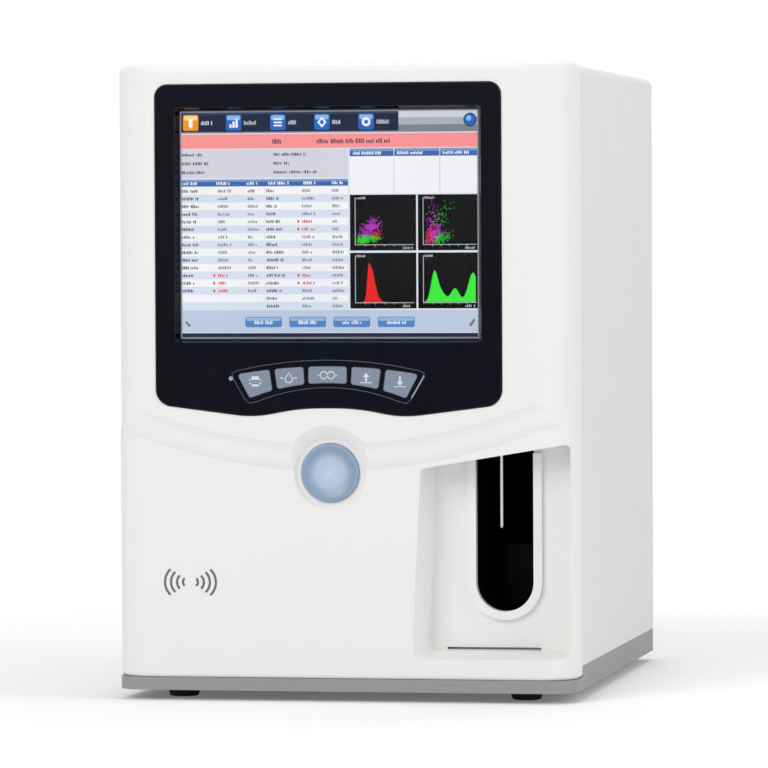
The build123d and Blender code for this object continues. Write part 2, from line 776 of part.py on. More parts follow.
def display_bezel():
    plate = along_y(bezel_face(FIT / 2), -BEZEL_PROUD, BEZEL_BACK)
    plate = chamfer(plate.faces().sort_by(Axis.Y)[0].outer_wire().edges(), BEZEL_CHAMFER)
    plate += along_y(screen_face(RIM_WIDTH, 4), BEZEL_BACK, SCREEN_RECESS)
    front = Plane.XZ.offset(BEZEL_PROUD) * screen_face(SCREEN_BEVEL, 3)
    back = Plane.XZ.offset(-SCREEN_RECESS) * screen_face(0, 1)
    plate -= loft([front, back], ruled=True)
    for z in POST_ROWS:
        for x in (-POST_X, POST_X):
            plate += rod_y(PANEL_X + x, z, BEZEL_BACK, KEYPAD_Y, POST_RADIUS)
    for index in range(len(KEY_NAMES)):
        plate -= along_y(key_face(index, FIT), -BEZEL_PROUD - CUT, BEZEL_BACK + CUT)
    lamp_x = PANEL_X - LAMP_OFFSET
    return plate - rod_y(lamp_x, LAMP_Z, -BEZEL_PROUD - CUT, BEZEL_BACK + CUT, LAMP_RADIUS + SHAFT_FIT)


def touch_glass():
    return along_y(screen_face(GLASS_MARGIN, 2), SCREEN_RECESS, GLASS_BACK)


def panel_key(index):
    """Key cap with a flange behind the surround and a stem on its switch."""
    cap = along_y(key_face(index, 0), KEY_FACE_Y, BEZEL_BACK + FIT)
    cap = fillet(cap.faces().sort_by(Axis.Y)[0].outer_wire().edges(), KEY_EDGE)
    cap += along_y(key_face(index, KEY_FLANGE_WIDTH), BEZEL_BACK + FIT, KEY_BACK_Y)
    x, z = key_centre(index)
    return cap + rod_y(x, z, KEY_BACK_Y, KEY_STEM_END, KEY_STEM_RADIUS)


def keypad_board():
    half = LAMP_OFFSET + KEYPAD_MARGIN
    plan = rounded(PANEL_X - half, PANEL_X + half, KEYPAD_LOW, KEYPAD_HIGH, 3)
    board = along_y(plan, KEYPAD_Y, KEYPAD_Y + BOARD_THICKNESS)
    for index in range(len(KEY_NAMES)):
        x, z = key_centre(index)
        board += turned_y(
            [(0, DOME_TOP_Y), (DOME_RADIUS, DOME_TOP_Y), (DOME_FOOT_RADIUS, KEYPAD_Y), (0, KEYPAD_Y)],
            0,
            x,
            z,
        )
    back = KEYPAD_Y + BOARD_THICKNESS
    return board + slab(PANEL_X - 20, PANEL_X + 20, back, back + 3.4, KEYPAD_LOW + 3, KEYPAD_LOW + 9)


def status_lamp():
    x = PANEL_X - LAMP_OFFSET
    lens = rod_y(x, LAMP_Z, -BEZEL_PROUD - LAMP_PROUD, BEZEL_BACK, LAMP_RADIUS)
    return lens + rod_y(x, LAMP_Z, BEZEL_BACK, KEYPAD_Y, LAMP_RADIUS + 0.5)


def lcd_module():
    panel = along_y(screen_face(LCD_MARGIN, 2), GLASS_BACK, LCD_BACK)
    return panel - along_y(screen_face(0, 0.5), GLASS_BACK - CUT, GLASS_BACK + LCD_POCKET)


def display_bracket():
    """Sheet frame behind the screen module, held by four studs of the front cover's back."""
    start = LCD_BACK
    end = LCD_BACK + BRACKET_SHEET
    plate = along_y(screen_face(BRACKET_MARGIN, 3), start, end)
    plate -= along_y(screen_face(-BRACKET_WINDOW, 6), start - CUT, end + CUT)
    probe_side = SLOT_X - ARM_WIDTH / 2 - 2
    return plate - slab(probe_side, HALF_WIDTH, start - CUT, end + CUT, KEYPAD_LOW, COVER_TOP)


def start_key():
    """Round key with a dished face, a hook behind the guide and a stem on its switch."""
    front = LOWER_Y - START_PROUD
    hook_start = GUIDE_END + FIT
    hook_end = hook_start + START_HOOK_THICKNESS
    r = START_RADIUS
    points = [
        (0, front + START_DISH),
        (r * 0.62, front + START_DISH - 0.4),
        (r - START_RIM, front),
        (r, front),
        (r, hook_start),
        (r + START_HOOK, hook_start),
        (r + START_HOOK, hook_end),
        (r - START_HOOK, hook_end),
        (r - START_HOOK, START_BACK_Y),
        (START_STEM_RADIUS, START_BACK_Y),
        (START_STEM_RADIUS, START_STEM_END),
        (0, START_STEM_END),
    ]
    return turned_y(points, [0, 12, 1, 1.2, 0, 0, 0, 0, 0, 0, 0, 0], PANEL_X, START_Z)


def start_key_holder():
    """Cup behind the guide with the switch at its middle."""
    cup = turned_y(
        [
            (HOLDER_INNER, GUIDE_END),
            (GUIDE_OUTER, GUIDE_END),
            (GUIDE_OUTER, HOLDER_PLATE_Y + HOLDER_PLATE),
            (0, HOLDER_PLATE_Y + HOLDER_PLATE),
            (0, HOLDER_PLATE_Y),
            (HOLDER_INNER, HOLDER_PLATE_Y),
        ],
        0,
        PANEL_X,
        START_Z,
    )
    half = SWITCH_HALF
    plan = rounded(PANEL_X - half, PANEL_X + half, START_Z - half, START_Z + half, 0.5)
    return cup + along_y(plan, HOLDER_PLATE_Y - SWITCH_HEIGHT_Y, HOLDER_PLATE_Y)


def start_key_spring():
    """Wave spring of flat turns round the stem."""
    spring = None
    for turn in range(SPRING_TURNS):
        start = START_BACK_Y + turn * SPRING_PITCH
        end = start + SPRING_PITCH
        radius = SPRING_RADIUS - turn * SPRING_TAPER
        ring = rod_y(PANEL_X, START_Z, start, end, radius)
        ring -= rod_y(PANEL_X, START_Z, start - CUT, end + CUT, radius - SPRING_WIRE)
        spring = ring if spring is None else spring + ring
    return spring


def reader_board():
    """Antenna board behind the wireless sign."""
    y = LOWER_Y + WALL
    plan = rounded(READER_X - READER_HALF, READER_X + READER_HALF, *READER_ROWS, READER_CORNER)
    return along_y(plan, y, y + BOARD_THICKNESS)


def drip_tray():
    x0 = DRIP_X - DRIP_WIDTH / 2 - DRIP_TRAY_MARGIN
    x1 = DRIP_X + DRIP_WIDTH / 2 + DRIP_TRAY_MARGIN
    y0 = DRIP_TRAY_FRONT
    y1 = BAY_BACK_Y + DRIP_TRAY_MARGIN
    z0 = COVER_BOTTOM + WALL
    z1 = BAY_LIP_Z - WALL
    wall = DRIP_TRAY_WALL
    tray = slab(x0, x1, y0, y1, z0, z1)
    return tray - slab(x0 + wall, x1 - wall, y0 + wall, y1 - wall, z0 + wall, z1 + CUT)


def probe_slot_liner():
    """Black trough behind the slot, carried on as a duct with a back wall, open above for the probe."""
    trough = along_y(slot_face(SLOT_RADIUS + LINER_WALL, LINER_TOP), LINER_START, LINER_END)
    trough += along_y(slot_face(SLOT_RADIUS + COLLAR_WIDTH, LINER_TOP), LINER_START, LINER_START + LINER_WALL)
    trough -= along_y(slot_face(SLOT_RADIUS, LINER_TOP + CUT), LINER_START - CUT, LINER_END + CUT)
    inner = BATH_HALF + DUCT_SIDE_GAP
    outer = inner + LINER_WALL
    back = BATH_Y[1] + BATH_BACK_WALL + DUCT_BACK_GAP
    for x0, x1 in ((SLOT_X - outer, SLOT_X - inner), (SLOT_X + inner, SLOT_X + outer)):
        trough += slab(x0, x1, LINER_END - LINER_WALL, back + LINER_WALL, DUCT_LOW, LINER_TOP)
    return trough + slab(SLOT_X - outer, SLOT_X + outer, back, back + LINER_WALL, DUCT_LOW, LINER_TOP)


# Panels and base

def shell_outline(inset, bottom):
    half = HALF_WIDTH - inset
    edge = TOP_EDGE_RADIUS - inset
    points = [(-half, bottom), (-half, BODY_TOP - inset), (half, BODY_TOP - inset), (half, bottom)]
    return outline(points, [0, edge, edge, 0])


def top_form(inset, front, bottom):
    """Block of the top cover, rounded towards the sides and the back."""
    back = BODY_DEPTH - inset
    side = outline(
        [(front, bottom), (front, BODY_TOP - inset), (back, BODY_TOP - inset), (back, bottom)],
        [0, 0, TOP_EDGE_RADIUS - inset, 0],
    )
    return along_y(shell_outline(inset, bottom), front, back) & along_x(side, -HALF_WIDTH, HALF_WIDTH)


def top_cover():
    return top_form(0, SEAM_Y, LIP_BOTTOM) - top_form(TOP_SHEET, SEAM_Y - CUT, LIP_BOTTOM - CUT)


def side_panel(side):
    """Sheet panel with a fold at its front edge; side is -1 or 1."""
    panel = slab(PANEL_INSIDE, HALF_WIDTH, SEAM_Y, BODY_DEPTH, TRAY_TOP, LIP_BOTTOM)
    rear_edges = panel.edges().filter_by(Axis.Z).sort_by(Axis.Y)[-2:]
    panel = fillet(rear_edges.sort_by(Axis.X)[-1:], PANEL_EDGE_RADIUS)
    fold_y = SEAM_Y + FIT
    panel += slab(
        SIDE_INSIDE - PANEL_FOLD, PANEL_INSIDE, fold_y, fold_y + SHEET, PANEL_FOLD_LOW, LIP_BOTTOM
    )
    if side < 0:
        panel = mirror(panel, about=Plane.YZ)
    return panel


def chassis_frame():
    """Floor, front portal and windowed side walls of bent sheet."""
    wall = PANEL_INSIDE
    front = CHASSIS_FRONT
    frame = slab(-wall, wall, front, CHASSIS_BACK, TRAY_TOP, FLOOR_Z)
    portal = slab(-wall, wall, front, front + CHASSIS_SHEET, FLOOR_Z, LIP_BOTTOM)
    window = rounded(
        -wall + PORTAL_LEFT, SAMPLING_PLATE_X + 4, PORTAL_LOW, LIP_BOTTOM - PORTAL_TOP_BAND, PORTAL_CORNER
    )
    frame += portal - along_y(window, front - CUT, front + CHASSIS_SHEET + CUT)
    start = front + SIDE_WINDOW_START
    end = CHASSIS_BACK - SIDE_WINDOW_END
    middle = (start + end) / 2
    for side in (-1, 1):
        x0, x1 = sorted((side * SIDE_INSIDE, side * wall))
        plate = slab(x0, x1, front, CHASSIS_BACK, FLOOR_Z, LIP_BOTTOM)
        for y0, y1 in ((start, middle - SIDE_POST / 2), (middle + SIDE_POST / 2, end)):
            for z0, z1 in SIDE_WINDOW_ROWS:
                plate -= along_x(rounded(y0, y1, z0, z1, SIDE_WINDOW_CORNER), x0 - CUT, x1 + CUT)
        frame += plate
    bar_start = middle - SIDE_POST / 2
    return frame + slab(-wall, wall, bar_start, bar_start + SIDE_POST, LIP_BOTTOM - CHASSIS_SHEET, LIP_BOTTOM)


def tray_form(inset, bottom, top):
    half = HALF_WIDTH - inset
    corner = TRAY_CORNER_RADIUS - inset
    front = LOWER_Y + 1 + inset
    back = BODY_DEPTH - inset
    plan = outline([(-half, back), (-half, front), (half, front), (half, back)], [3, corner, corner, 3])
    return along_z(plan, bottom, top)


def base_tray():
    """Moulded tray with a raised rim that the panels stand on."""
    inner_floor = FOOT_HEIGHT + WALL
    tray = tray_form(0, FOOT_HEIGHT, TRAY_TOP) - tray_form(WALL, inner_floor, TRAY_TOP + CUT)
    half = HALF_WIDTH + CUT
    tray -= slab(-half, half, LOWER_Y, SEAM_Y + FIT, COVER_BOTTOM, TRAY_TOP + CUT)
    rib_half = HALF_WIDTH - WALL
    for index in range(RIB_COUNT):
        y = BODY_DEPTH / 2 + (index - 1) * BODY_DEPTH / (RIB_COUNT + 1.5)
        tray += slab(-rib_half, rib_half, y, y + WALL, inner_floor, TRAY_TOP)
    return tray


def rubber_feet():
    foot_side = [(0, 0), (FOOT_RADIUS - FOOT_TAPER, 0), (FOOT_RADIUS, FOOT_HEIGHT), (0, FOOT_HEIGHT)]
    feet = []
    for x in (FOOT_INSET_X - HALF_WIDTH, HALF_WIDTH - FOOT_INSET_X):
        for y in (FOOT_INSET_Y, BODY_DEPTH - FOOT_INSET_Y):
            feet.append(turned_z(foot_side, [0, FOOT_ROUND, 0, 0], x, y))
    return feet


# Back of the instrument

def rear_panel():
    y0 = CHASSIS_BACK
    y1 = BODY_DEPTH
    panel = slab(-PANEL_INSIDE, PANEL_INSIDE, y0, y1, TRAY_TOP, LIP_BOTTOM)
    panel -= rod_y(FAN_X, FAN_Z, y0 - CUT, y1 + CUT, FAN_BORE)
    panel -= slab(
        INLET_X - INLET_WIDTH / 2 - INLET_MARGIN,
        SWITCH_X + SWITCH_WIDTH / 2 + INLET_MARGIN,
        y0 - CUT,
        y1 + CUT,
        INLET_Z - INLET_CUT_HALF,
        INLET_Z + INLET_CUT_HALF,
    )
    half = PORT_WINDOW_HALF
    panel -= slab(PORT_X - half, PORT_X + half, y0 - CUT, y1 + CUT, *PORT_WINDOW_ROWS)
    for x in REAGENT_X:
        panel -= rod_y(x, REAGENT_Z, y0 - CUT, y1 + CUT, REAGENT_HOLE)
    half = VENT_HEIGHT / 2
    for row in range(VENT_ROWS):
        z = VENT_LOW + row * VENT_PITCH
        for x in VENT_X:
            vent = rounded(x - VENT_HALF, x + VENT_HALF, z - half, z + half, half - 0.1)
            panel -= along_y(vent, y0 - CUT, y1 + CUT)
    return panel


def port_plate():
    """Plate on the rear panel that closes the window round the connectors."""
    low, high = PORT_WINDOW_ROWS
    half = PORT_PLATE_HALF
    start = BODY_DEPTH
    end = BODY_DEPTH + PORT_PLATE_THICKNESS
    plan = rounded(PORT_X - half, PORT_X + half, low - PORT_PLATE_MARGIN, high + PORT_PLATE_MARGIN, 3)
    plate = along_y(plan, start, end)
    for width, height, z in PORT_SIZES:
        half_w = width / 2 + FIT
        half_h = height / 2 + FIT
        plate -= slab(PORT_X - half_w, PORT_X + half_w, start - CUT, end + CUT, z - half_h, z + half_h)
    return plate


def fan_frame():
    half = FAN_SIZE / 2
    plan = rounded(FAN_X - half, FAN_X + half, FAN_Z - half, FAN_Z + half, FAN_CORNER)
    frame = along_y(plan, FAN_Y0, FAN_Y1)
    frame -= rod_y(FAN_X, FAN_Z, FAN_Y0 - CUT, FAN_Y1 + CUT, FAN_BORE)
    for x in (FAN_X - FAN_HOLE_OFFSET, FAN_X + FAN_HOLE_OFFSET):
        for z in (FAN_Z - FAN_HOLE_OFFSET, FAN_Z + FAN_HOLE_OFFSET):
            frame -= rod_y(x, z, FAN_Y0 - CUT, FAN_Y1 + CUT, FAN_HOLE_RADIUS)
    hub_end = FAN_Y0 + FAN_SPOKE
    frame += rod_y(FAN_X, FAN_Z, FAN_Y0, hub_end, FAN_HUB)
    spoke_half = FAN_SPOKE / 2 + 0.5
    spoke = slab(FAN_X - spoke_half, FAN_X + spoke_half, FAN_Y0, hub_end, FAN_Z, FAN_Z + FAN_BORE + 1)
    for turn in range(4):
        frame += spoke.rotate(Axis((FAN_X, 0, FAN_Z), (0, 1, 0)), 45 + 90 * turn)
    return frame - rod_y(FAN_X, FAN_Z, FAN_Y0 + 1, hub_end + CUT, SHAFT_RADIUS + SHAFT_FIT)


def fan_rotor():
    """Hub with pitched blades, each lofted from root to tip."""
    y0 = FAN_Y0 + FAN_SPOKE + FIT
    y1 = FAN_Y1 - FAN_FRONT_GAP
    middle = (y0 + y1) / 2
    rotor = rod_y(FAN_X, FAN_Z, y0, y1, FAN_HUB)
    rotor += rod_y(FAN_X, FAN_Z, FAN_Y0 + 1, y0, SHAFT_RADIUS)
    sections = []
    for radius, (length, pitch) in ((FAN_HUB, BLADE_ROOT), (FAN_BORE, BLADE_TIP)):
        origin = (FAN_X, middle, FAN_Z + radius - BLADE_OVERLAP)
        plane = Plane(origin=origin, x_dir=(0, 1, 0), z_dir=(0, 0, 1))
        sections.append(plane * Rot(0, 0, pitch) * RectangleRounded(length, BLADE_THICKNESS, 0.7))
    blade = loft(sections, ruled=True)
    for index in range(FAN_BLADES):
        rotor += blade.rotate(Axis((FAN_X, 0, FAN_Z), (0, 1, 0)), 360.0 / FAN_BLADES * index)
    return rotor


def fan_grille():
    """Flat stamped finger guard over the fan opening, with an ear and a screw at each corner."""
    y0 = BODY_DEPTH
    y1 = y0 + SHEET
    guard = rod_y(FAN_X, FAN_Z, y0, y1, GUARD_RADII[0])
    for radius in GUARD_RADII[1:]:
        ring = rod_y(FAN_X, FAN_Z, y0, y1, radius)
        guard += ring - rod_y(FAN_X, FAN_Z, y0 - CUT, y1 + CUT, radius - GUARD_BAND)
    reach = FAN_HOLE_OFFSET * sqrt(2)
    bar = slab(FAN_X - reach, FAN_X + reach, y0, y1, FAN_Z - GUARD_BAR / 2, FAN_Z + GUARD_BAR / 2)
    for angle in (45, 135):
        guard += bar.rotate(Axis((FAN_X, 0, FAN_Z), (0, 1, 0)), angle)
    for x in (FAN_X - FAN_HOLE_OFFSET, FAN_X + FAN_HOLE_OFFSET):
        for z in (FAN_Z - FAN_HOLE_OFFSET, FAN_Z + FAN_HOLE_OFFSET):
            guard += rod_y(x, z, y0, y1, GUARD_EAR_RADIUS)
            guard += pan_head(x, z, y1)
    return guard


def pan_head(x, z, y):
    profile = [(0, y), (SCREW_HEAD, y), (SCREW_HEAD, y + SCREW_RIM), (0, y + SCREW_HEAD_HEIGHT)]
    return turned_y(profile, 0, x, z)


def mains_inlet():
    """Inlet and switch in one snap-in module; the recess faces the back."""
    x0 = INLET_X - INLET_WIDTH / 2 - INLET_MARGIN + FIT
    x1 = SWITCH_X + SWITCH_WIDTH / 2 + INLET_MARGIN - FIT
    y0 = BODY_DEPTH - INLET_DEPTH
    y1 = BODY_DEPTH
    body_half = INLET_CUT_HALF - FIT
    body = slab(x0, x1, y0, y1, INLET_Z - body_half, INLET_Z + body_half)
    margin = INLET_FLANGE_MARGIN
    flange_half = INLET_CUT_HALF + margin
    flange = rounded(x0 - margin, x1 + margin, INLET_Z - flange_half, INLET_Z + flange_half, 3)
    body += along_y(flange, y1, y1 + INLET_FLANGE)
    half_w = INLET_WIDTH / 2 - 1.5
    half_h = INLET_HEIGHT / 2 - 1
    shoulder = INLET_Z + half_h * 0.45
    socket = outline(
        [
            (INLET_X - half_w, INLET_Z - half_h),
            (INLET_X + half_w, INLET_Z - half_h),
            (INLET_X + half_w, shoulder),
            (INLET_X + half_w * 0.7, INLET_Z + half_h),
            (INLET_X - half_w * 0.7, INLET_Z + half_h),
            (INLET_X - half_w, shoulder),
        ],
        1.0,
    )
    body -= along_y(socket, y0 + INLET_FLOOR, y1 + INLET_FLANGE + CUT)
    pin_w, pin_h = PIN_HALF
    for x, z in INLET_PINS:
        pin_x = INLET_X + x
        pin_z = INLET_Z + z
        body += slab(pin_x - pin_w, pin_x + pin_w, y0 + 5, y1 - PIN_END, pin_z - pin_h, pin_z + pin_h)
    half_s = SWITCH_WIDTH / 2
    body -= slab(
        SWITCH_X - half_s,
        SWITCH_X + half_s,
        y0 + 4,
        y1 + INLET_FLANGE + CUT,
        INLET_Z - SWITCH_HEIGHT / 2,
        INLET_Z + SWITCH_HEIGHT / 2,
    )
    pin_end = half_s + 1
    return body + rod_x(ROCKER_PIN_Y, INLET_Z, SWITCH_X - pin_end, SWITCH_X + pin_end, ROCKER_PIN_RADIUS)


def power_rocker():
    """Rocker with two sloping faces, tilted to its off side."""
    half_w = SWITCH_WIDTH / 2 - FIT
    half_h = SWITCH_HEIGHT / 2 - ROCKER_HEIGHT_FIT
    pin_y = ROCKER_PIN_Y
    foot_y = pin_y - ROCKER_FOOT
    top = BODY_DEPTH + ROCKER_PROUD
    points = [
        (foot_y, INLET_Z - ROCKER_FOOT),
        (top, INLET_Z - half_h),
        (top - ROCKER_DIP, INLET_Z),
        (top, INLET_Z + half_h),
        (foot_y, INLET_Z + ROCKER_FOOT),
    ]
    rocker = along_x(outline(points, [1, 1, 6, 1, 1]), SWITCH_X - half_w, SWITCH_X + half_w)
    bore = ROCKER_PIN_RADIUS + SHAFT_FIT
    rocker -= rod_x(pin_y, INLET_Z, SWITCH_X - half_w - CUT, SWITCH_X + half_w + CUT, bore)
    return rocker.rotate(Axis((SWITCH_X, pin_y, INLET_Z), (1, 0, 0)), -ROCKER_TILT)


def interface_ports():
    """Connector shells and standoffs soldered to one board behind the panel."""
    board_y = BODY_DEPTH - PORT_DEPTH
    low, high = PORT_BOARD_ROWS
    plan = rounded(PORT_X - PORT_BOARD_HALF, PORT_X + PORT_BOARD_HALF, low, high, 3)
    board = along_y(plan, board_y - BOARD_THICKNESS, board_y)
    end = BODY_DEPTH + PORT_PROUD
    for width, height, z in PORT_SIZES:
        half_w = width / 2
        half_h = height / 2
        board += slab(PORT_X - half_w, PORT_X + half_w, board_y, end, z - half_h, z + half_h)
        half_w -= PORT_WALL
        half_h -= PORT_WALL
        floor_y = board_y + PORT_FLOOR
        board -= slab(PORT_X - half_w, PORT_X + half_w, floor_y, end + CUT, z - half_h, z + half_h)
    for x in (PORT_X - PORT_POST_X, PORT_X + PORT_POST_X):
        for z in (low + PORT_POST_INSET, high - PORT_POST_INSET):
            board += rod_y(x, z, board_y, CHASSIS_BACK, POST_RADIUS)
    return board


def reagent_port(x):
    """Barbed hose nipple through the back, with its flange and its nut."""
    y = BODY_DEPTH
    end = BODY_DEPTH + REAR_REACH
    barb = NIPPLE_TIP + NIPPLE_BARB
    shoulder = y + NIPPLE_FLANGE_THICKNESS
    points = [
        (NIPPLE_BORE, CHASSIS_BACK - NIPPLE_INSIDE),
        (NIPPLE_THREAD, CHASSIS_BACK - NIPPLE_INSIDE),
        (NIPPLE_THREAD, y),
        (NIPPLE_FLANGE, y),
        (NIPPLE_FLANGE, shoulder),
        (NIPPLE_TIP, shoulder),
        (NIPPLE_TIP, end - REAR_REACH / 2),
        (barb, end - REAR_REACH / 2),
        (NIPPLE_TIP, end - REAR_REACH / 4),
        (barb, end - REAR_REACH / 4),
        (NIPPLE_TIP - 0.6, end),
        (NIPPLE_BORE, end),
    ]
    nut = rod_y(x, REAGENT_Z, CHASSIS_BACK - NUT_THICKNESS, CHASSIS_BACK, NIPPLE_FLANGE)
    nut -= rod_y(x, REAGENT_Z, CHASSIS_BACK - NUT_THICKNESS - CUT, CHASSIS_BACK + CUT, NIPPLE_TIP)
    return turned_y(points, 0, x, REAGENT_Z) + nut


def cover_screws():
    """Pan head screws of the rear panel and of its connector plate."""
    screws = [pan_head(x, z, BODY_DEPTH) for x in (-PANEL_SCREW_X, PANEL_SCREW_X) for z in PANEL_SCREW_ROWS]
    low, high = PORT_WINDOW_ROWS
    for z in (low - PORT_SCREW_MARGIN, high + PORT_SCREW_MARGIN):
        screws.append(pan_head(PORT_X, z, BODY_DEPTH + PORT_PLATE_THICKNESS))
    return screws


# Sampling mechanism

def sampling_plate():
    """Upright plate that carries the rail, the belt drive and the probe mechanism."""
    x0 = SAMPLING_PLATE_X
    x1 = x0 + SAMPLING_PLATE_THICKNESS
    y0 = CHASSIS_FRONT + CHASSIS_SHEET
    y1 = RAIL_END + 14
    plate = along_x(rounded(y0, y1, FLOOR_Z, SAMPLING_PLATE_TOP, 0.5), x0, x1)
    for low, high in ((50.0, 180.0), (205.0, RAIL_Z - 14)):
        plate -= along_x(rounded(y0 + 20, y1 - 24, low, high, 10), x0 - CUT, x1 + CUT)
    for y in (y0 + 4, y1 - 2):
        plate += slab(x0 - 18, x0, y, y + SHEET, FLOOR_Z, FLOOR_Z + 24)
    plate += rod_x(IDLER_Y, BELT_Z, BELT_X - BELT_WIDTH / 2 - 2, x0, SHAFT_RADIUS)
    return plate - rod_x(DRIVE_Y, BELT_Z, x0 - CUT, x1 + CUT, SHAFT_RADIUS + 2)


def carriage_rail():
    x0 = SAMPLING_PLATE_X - RAIL_HEIGHT
    half = RAIL_WIDTH / 2
    return along_y(rounded(x0, SAMPLING_PLATE_X, RAIL_Z - half, RAIL_Z + half, 0.5), RAIL_START, RAIL_END)


def probe_carriage():
    """Runner on the rail with two flanges that hold the upright guide rod and the lead screw."""
    x0 = CARRIAGE_PLATE_X
    x1 = x0 + CARRIAGE_PLATE_THICKNESS
    y0 = CARRIAGE_START
    y1 = y0 + CARRIAGE_LENGTH
    top = FLANGE_HIGH + FLANGE_THICKNESS
    carriage = slab(x0, SAMPLING_PLATE_X - FIT, y0, y1, RAIL_Z - RUNNER_HALF, RAIL_Z + RUNNER_HALF)
    groove = RAIL_WIDTH / 2 + FIT
    rail_face = SAMPLING_PLATE_X - RAIL_HEIGHT - FIT
    carriage -= slab(rail_face, SAMPLING_PLATE_X, y0 - CUT, y1 + CUT, RAIL_Z - groove, RAIL_Z + groove)
    plate = slab(x0, x1, y0, y1, FLANGE_LOW, top)
    window = rounded(y0 + 10, y1 - 10, FLANGE_LOW + 20, RAIL_Z - 26, 6)
    carriage += plate - along_x(window, x0 - CUT, x1 + CUT)
    for z in (FLANGE_LOW, FLANGE_HIGH):
        flange = rounded(SCREW_X - FLANGE_HALF, x0, ROD_Y - FLANGE_HALF, ROD_Y + FLANGE_HALF, 0.5)
        carriage += along_z(flange, z, z + FLANGE_THICKNESS)
        hole = SCREW_RADIUS + SHAFT_FIT
        carriage -= rod_z(SCREW_X, ROD_Y, z - CUT, z + FLANGE_THICKNESS + CUT, hole)
    carriage += rod_z(GUIDE_ROD_X, ROD_Y, FLANGE_LOW, top, GUIDE_ROD_RADIUS)
    # belt clamp on the lower run
    clamp_top = BELT_Z - PULLEY_RADIUS - BELT_THICKNESS - FIT
    carriage += slab(x0, SAMPLING_PLATE_X - 2, y0 + 14, y0 + 30, RAIL_Z + RUNNER_HALF, clamp_top)
    # arm that carries the wash block
    arm_end = ROD_Y - FLANGE_HALF
    return carriage + slab(
        SLOT_X - 4, SLOT_X + 4, PROBE_Y + WASH_HALF, arm_end, FLANGE_LOW, FLANGE_LOW + FLANGE_THICKNESS
    )


def probe_wash_block():
    """Block round the probe that rinses it, with two small hose stubs on its left side."""
    x0 = SLOT_X - WASH_HALF
    top = FLANGE_LOW + WASH_HEIGHT
    block = slab(x0, SLOT_X + WASH_HALF, PROBE_Y - WASH_HALF, PROBE_Y + WASH_HALF, FLANGE_LOW, top)
    block = fillet(block.edges().filter_by(Axis.Z), WASH_CORNER)
    block -= rod_z(SLOT_X, PROBE_Y, FLANGE_LOW - CUT, top + CUT, PROBE_RADIUS + FIT)
    for z in (FLANGE_LOW + 3.5, top - 3.5):
        block += rod_x(PROBE_Y, z, x0 - STUB_LENGTH, x0 + 1, STUB_RADIUS)
    return block


def probe_slider():
    """Block on the guide rod and the lead screw, with the arm that reaches forward to the probe."""
    z0 = ARM_Z - SLIDER_HEIGHT / 2
    z1 = ARM_Z + SLIDER_HEIGHT / 2
    front = ROD_Y - SLIDER_HALF_DEPTH
    back = ROD_Y + SLIDER_HALF_DEPTH
    block = slab(SCREW_X - SLIDER_LEFT, GUIDE_ROD_X + SLIDER_RIGHT, front, back, z0, z1)
    block -= rod_z(GUIDE_ROD_X, ROD_Y, z0 - CUT, z1 + CUT, GUIDE_ROD_RADIUS + SHAFT_FIT)
    block -= rod_z(SCREW_X, ROD_Y, z0 - CUT, z1 + CUT, SCREW_RADIUS + SHAFT_FIT)
    half = ARM_WIDTH / 2
    points = [
        (SLOT_X - half, PROBE_Y - half),
        (SLOT_X + half, PROBE_Y - half),
        (SLOT_X + half, front),
        (SLOT_X - half, front),
    ]
    arm = outline(points, [ARM_NOSE, ARM_NOSE, 0, 0])
    block += along_z(arm, ARM_Z - ARM_HEIGHT / 2, ARM_Z + ARM_HEIGHT / 2)
    return block - rod_z(SLOT_X, PROBE_Y, z0, z1, PROBE_RADIUS)


def aspiration_probe():
    """Steel tube with a ground tip and a bore."""
    tip = PROBE_TIP_Z
    top = tip + PROBE_LENGTH
    r = PROBE_RADIUS
    points = [(PROBE_BORE, tip), (r * 0.6, tip), (r, tip + PROBE_TIP_LENGTH), (r, top), (PROBE_BORE, top)]
    return turned_z(points, 0, SLOT_X, PROBE_Y)


def slider_lead_screw():
    return rod_z(SCREW_X, ROD_Y, FLANGE_LOW, FLANGE_HIGH + FLANGE_THICKNESS, SCREW_RADIUS)


def slider_motor():
    z0 = FLANGE_HIGH + FLANGE_THICKNESS
    half = MOTOR_SMALL / 2
    plan = rounded(SCREW_X - half, SCREW_X + half, ROD_Y - half, ROD_Y + half, MOTOR_CORNER)
    return along_z(plan, z0 + FIT / 3, z0 + SLIDER_MOTOR_HEIGHT)


def carriage_motor():
    """Flat stepper motor on the outer face of the sampling plate."""
    half = CARRIAGE_MOTOR_HALF
    x0 = SAMPLING_PLATE_X + SAMPLING_PLATE_THICKNESS
    plan = rounded(DRIVE_Y - half, DRIVE_Y + half, BELT_Z - half, BELT_Z + half, MOTOR_CORNER)
    return along_x(plan, x0, x0 + CARRIAGE_MOTOR_DEPTH)


def belt_pulley(y):
    """Wheel with a flange at each end."""
    half = BELT_WIDTH / 2 + 0.5
    end = half + PULLEY_FLANGE
    wheel = rod_x(y, BELT_Z, BELT_X - end, BELT_X + end, PULLEY_RADIUS - 2 * SHAFT_FIT)
    for x in (BELT_X - end, BELT_X + half):
        wheel += rod_x(y, BELT_Z, x, x + PULLEY_FLANGE, PULLEY_RADIUS + PULLEY_FLANGE)
    return wheel


def drive_pulley():
    """Pulley on the motor's shaft."""
    end = SAMPLING_PLATE_X + SAMPLING_PLATE_THICKNESS - 2 * SHAFT_FIT
    return belt_pulley(DRIVE_Y) + rod_x(DRIVE_Y, BELT_Z, BELT_X - BELT_WIDTH / 2 - 1, end, SHAFT_RADIUS)


def idler_pulley():
    return belt_pulley(IDLER_Y) - rod_x(IDLER_Y, BELT_Z, BELT_X - 20, BELT_X + 20, SHAFT_RADIUS + SHAFT_FIT)


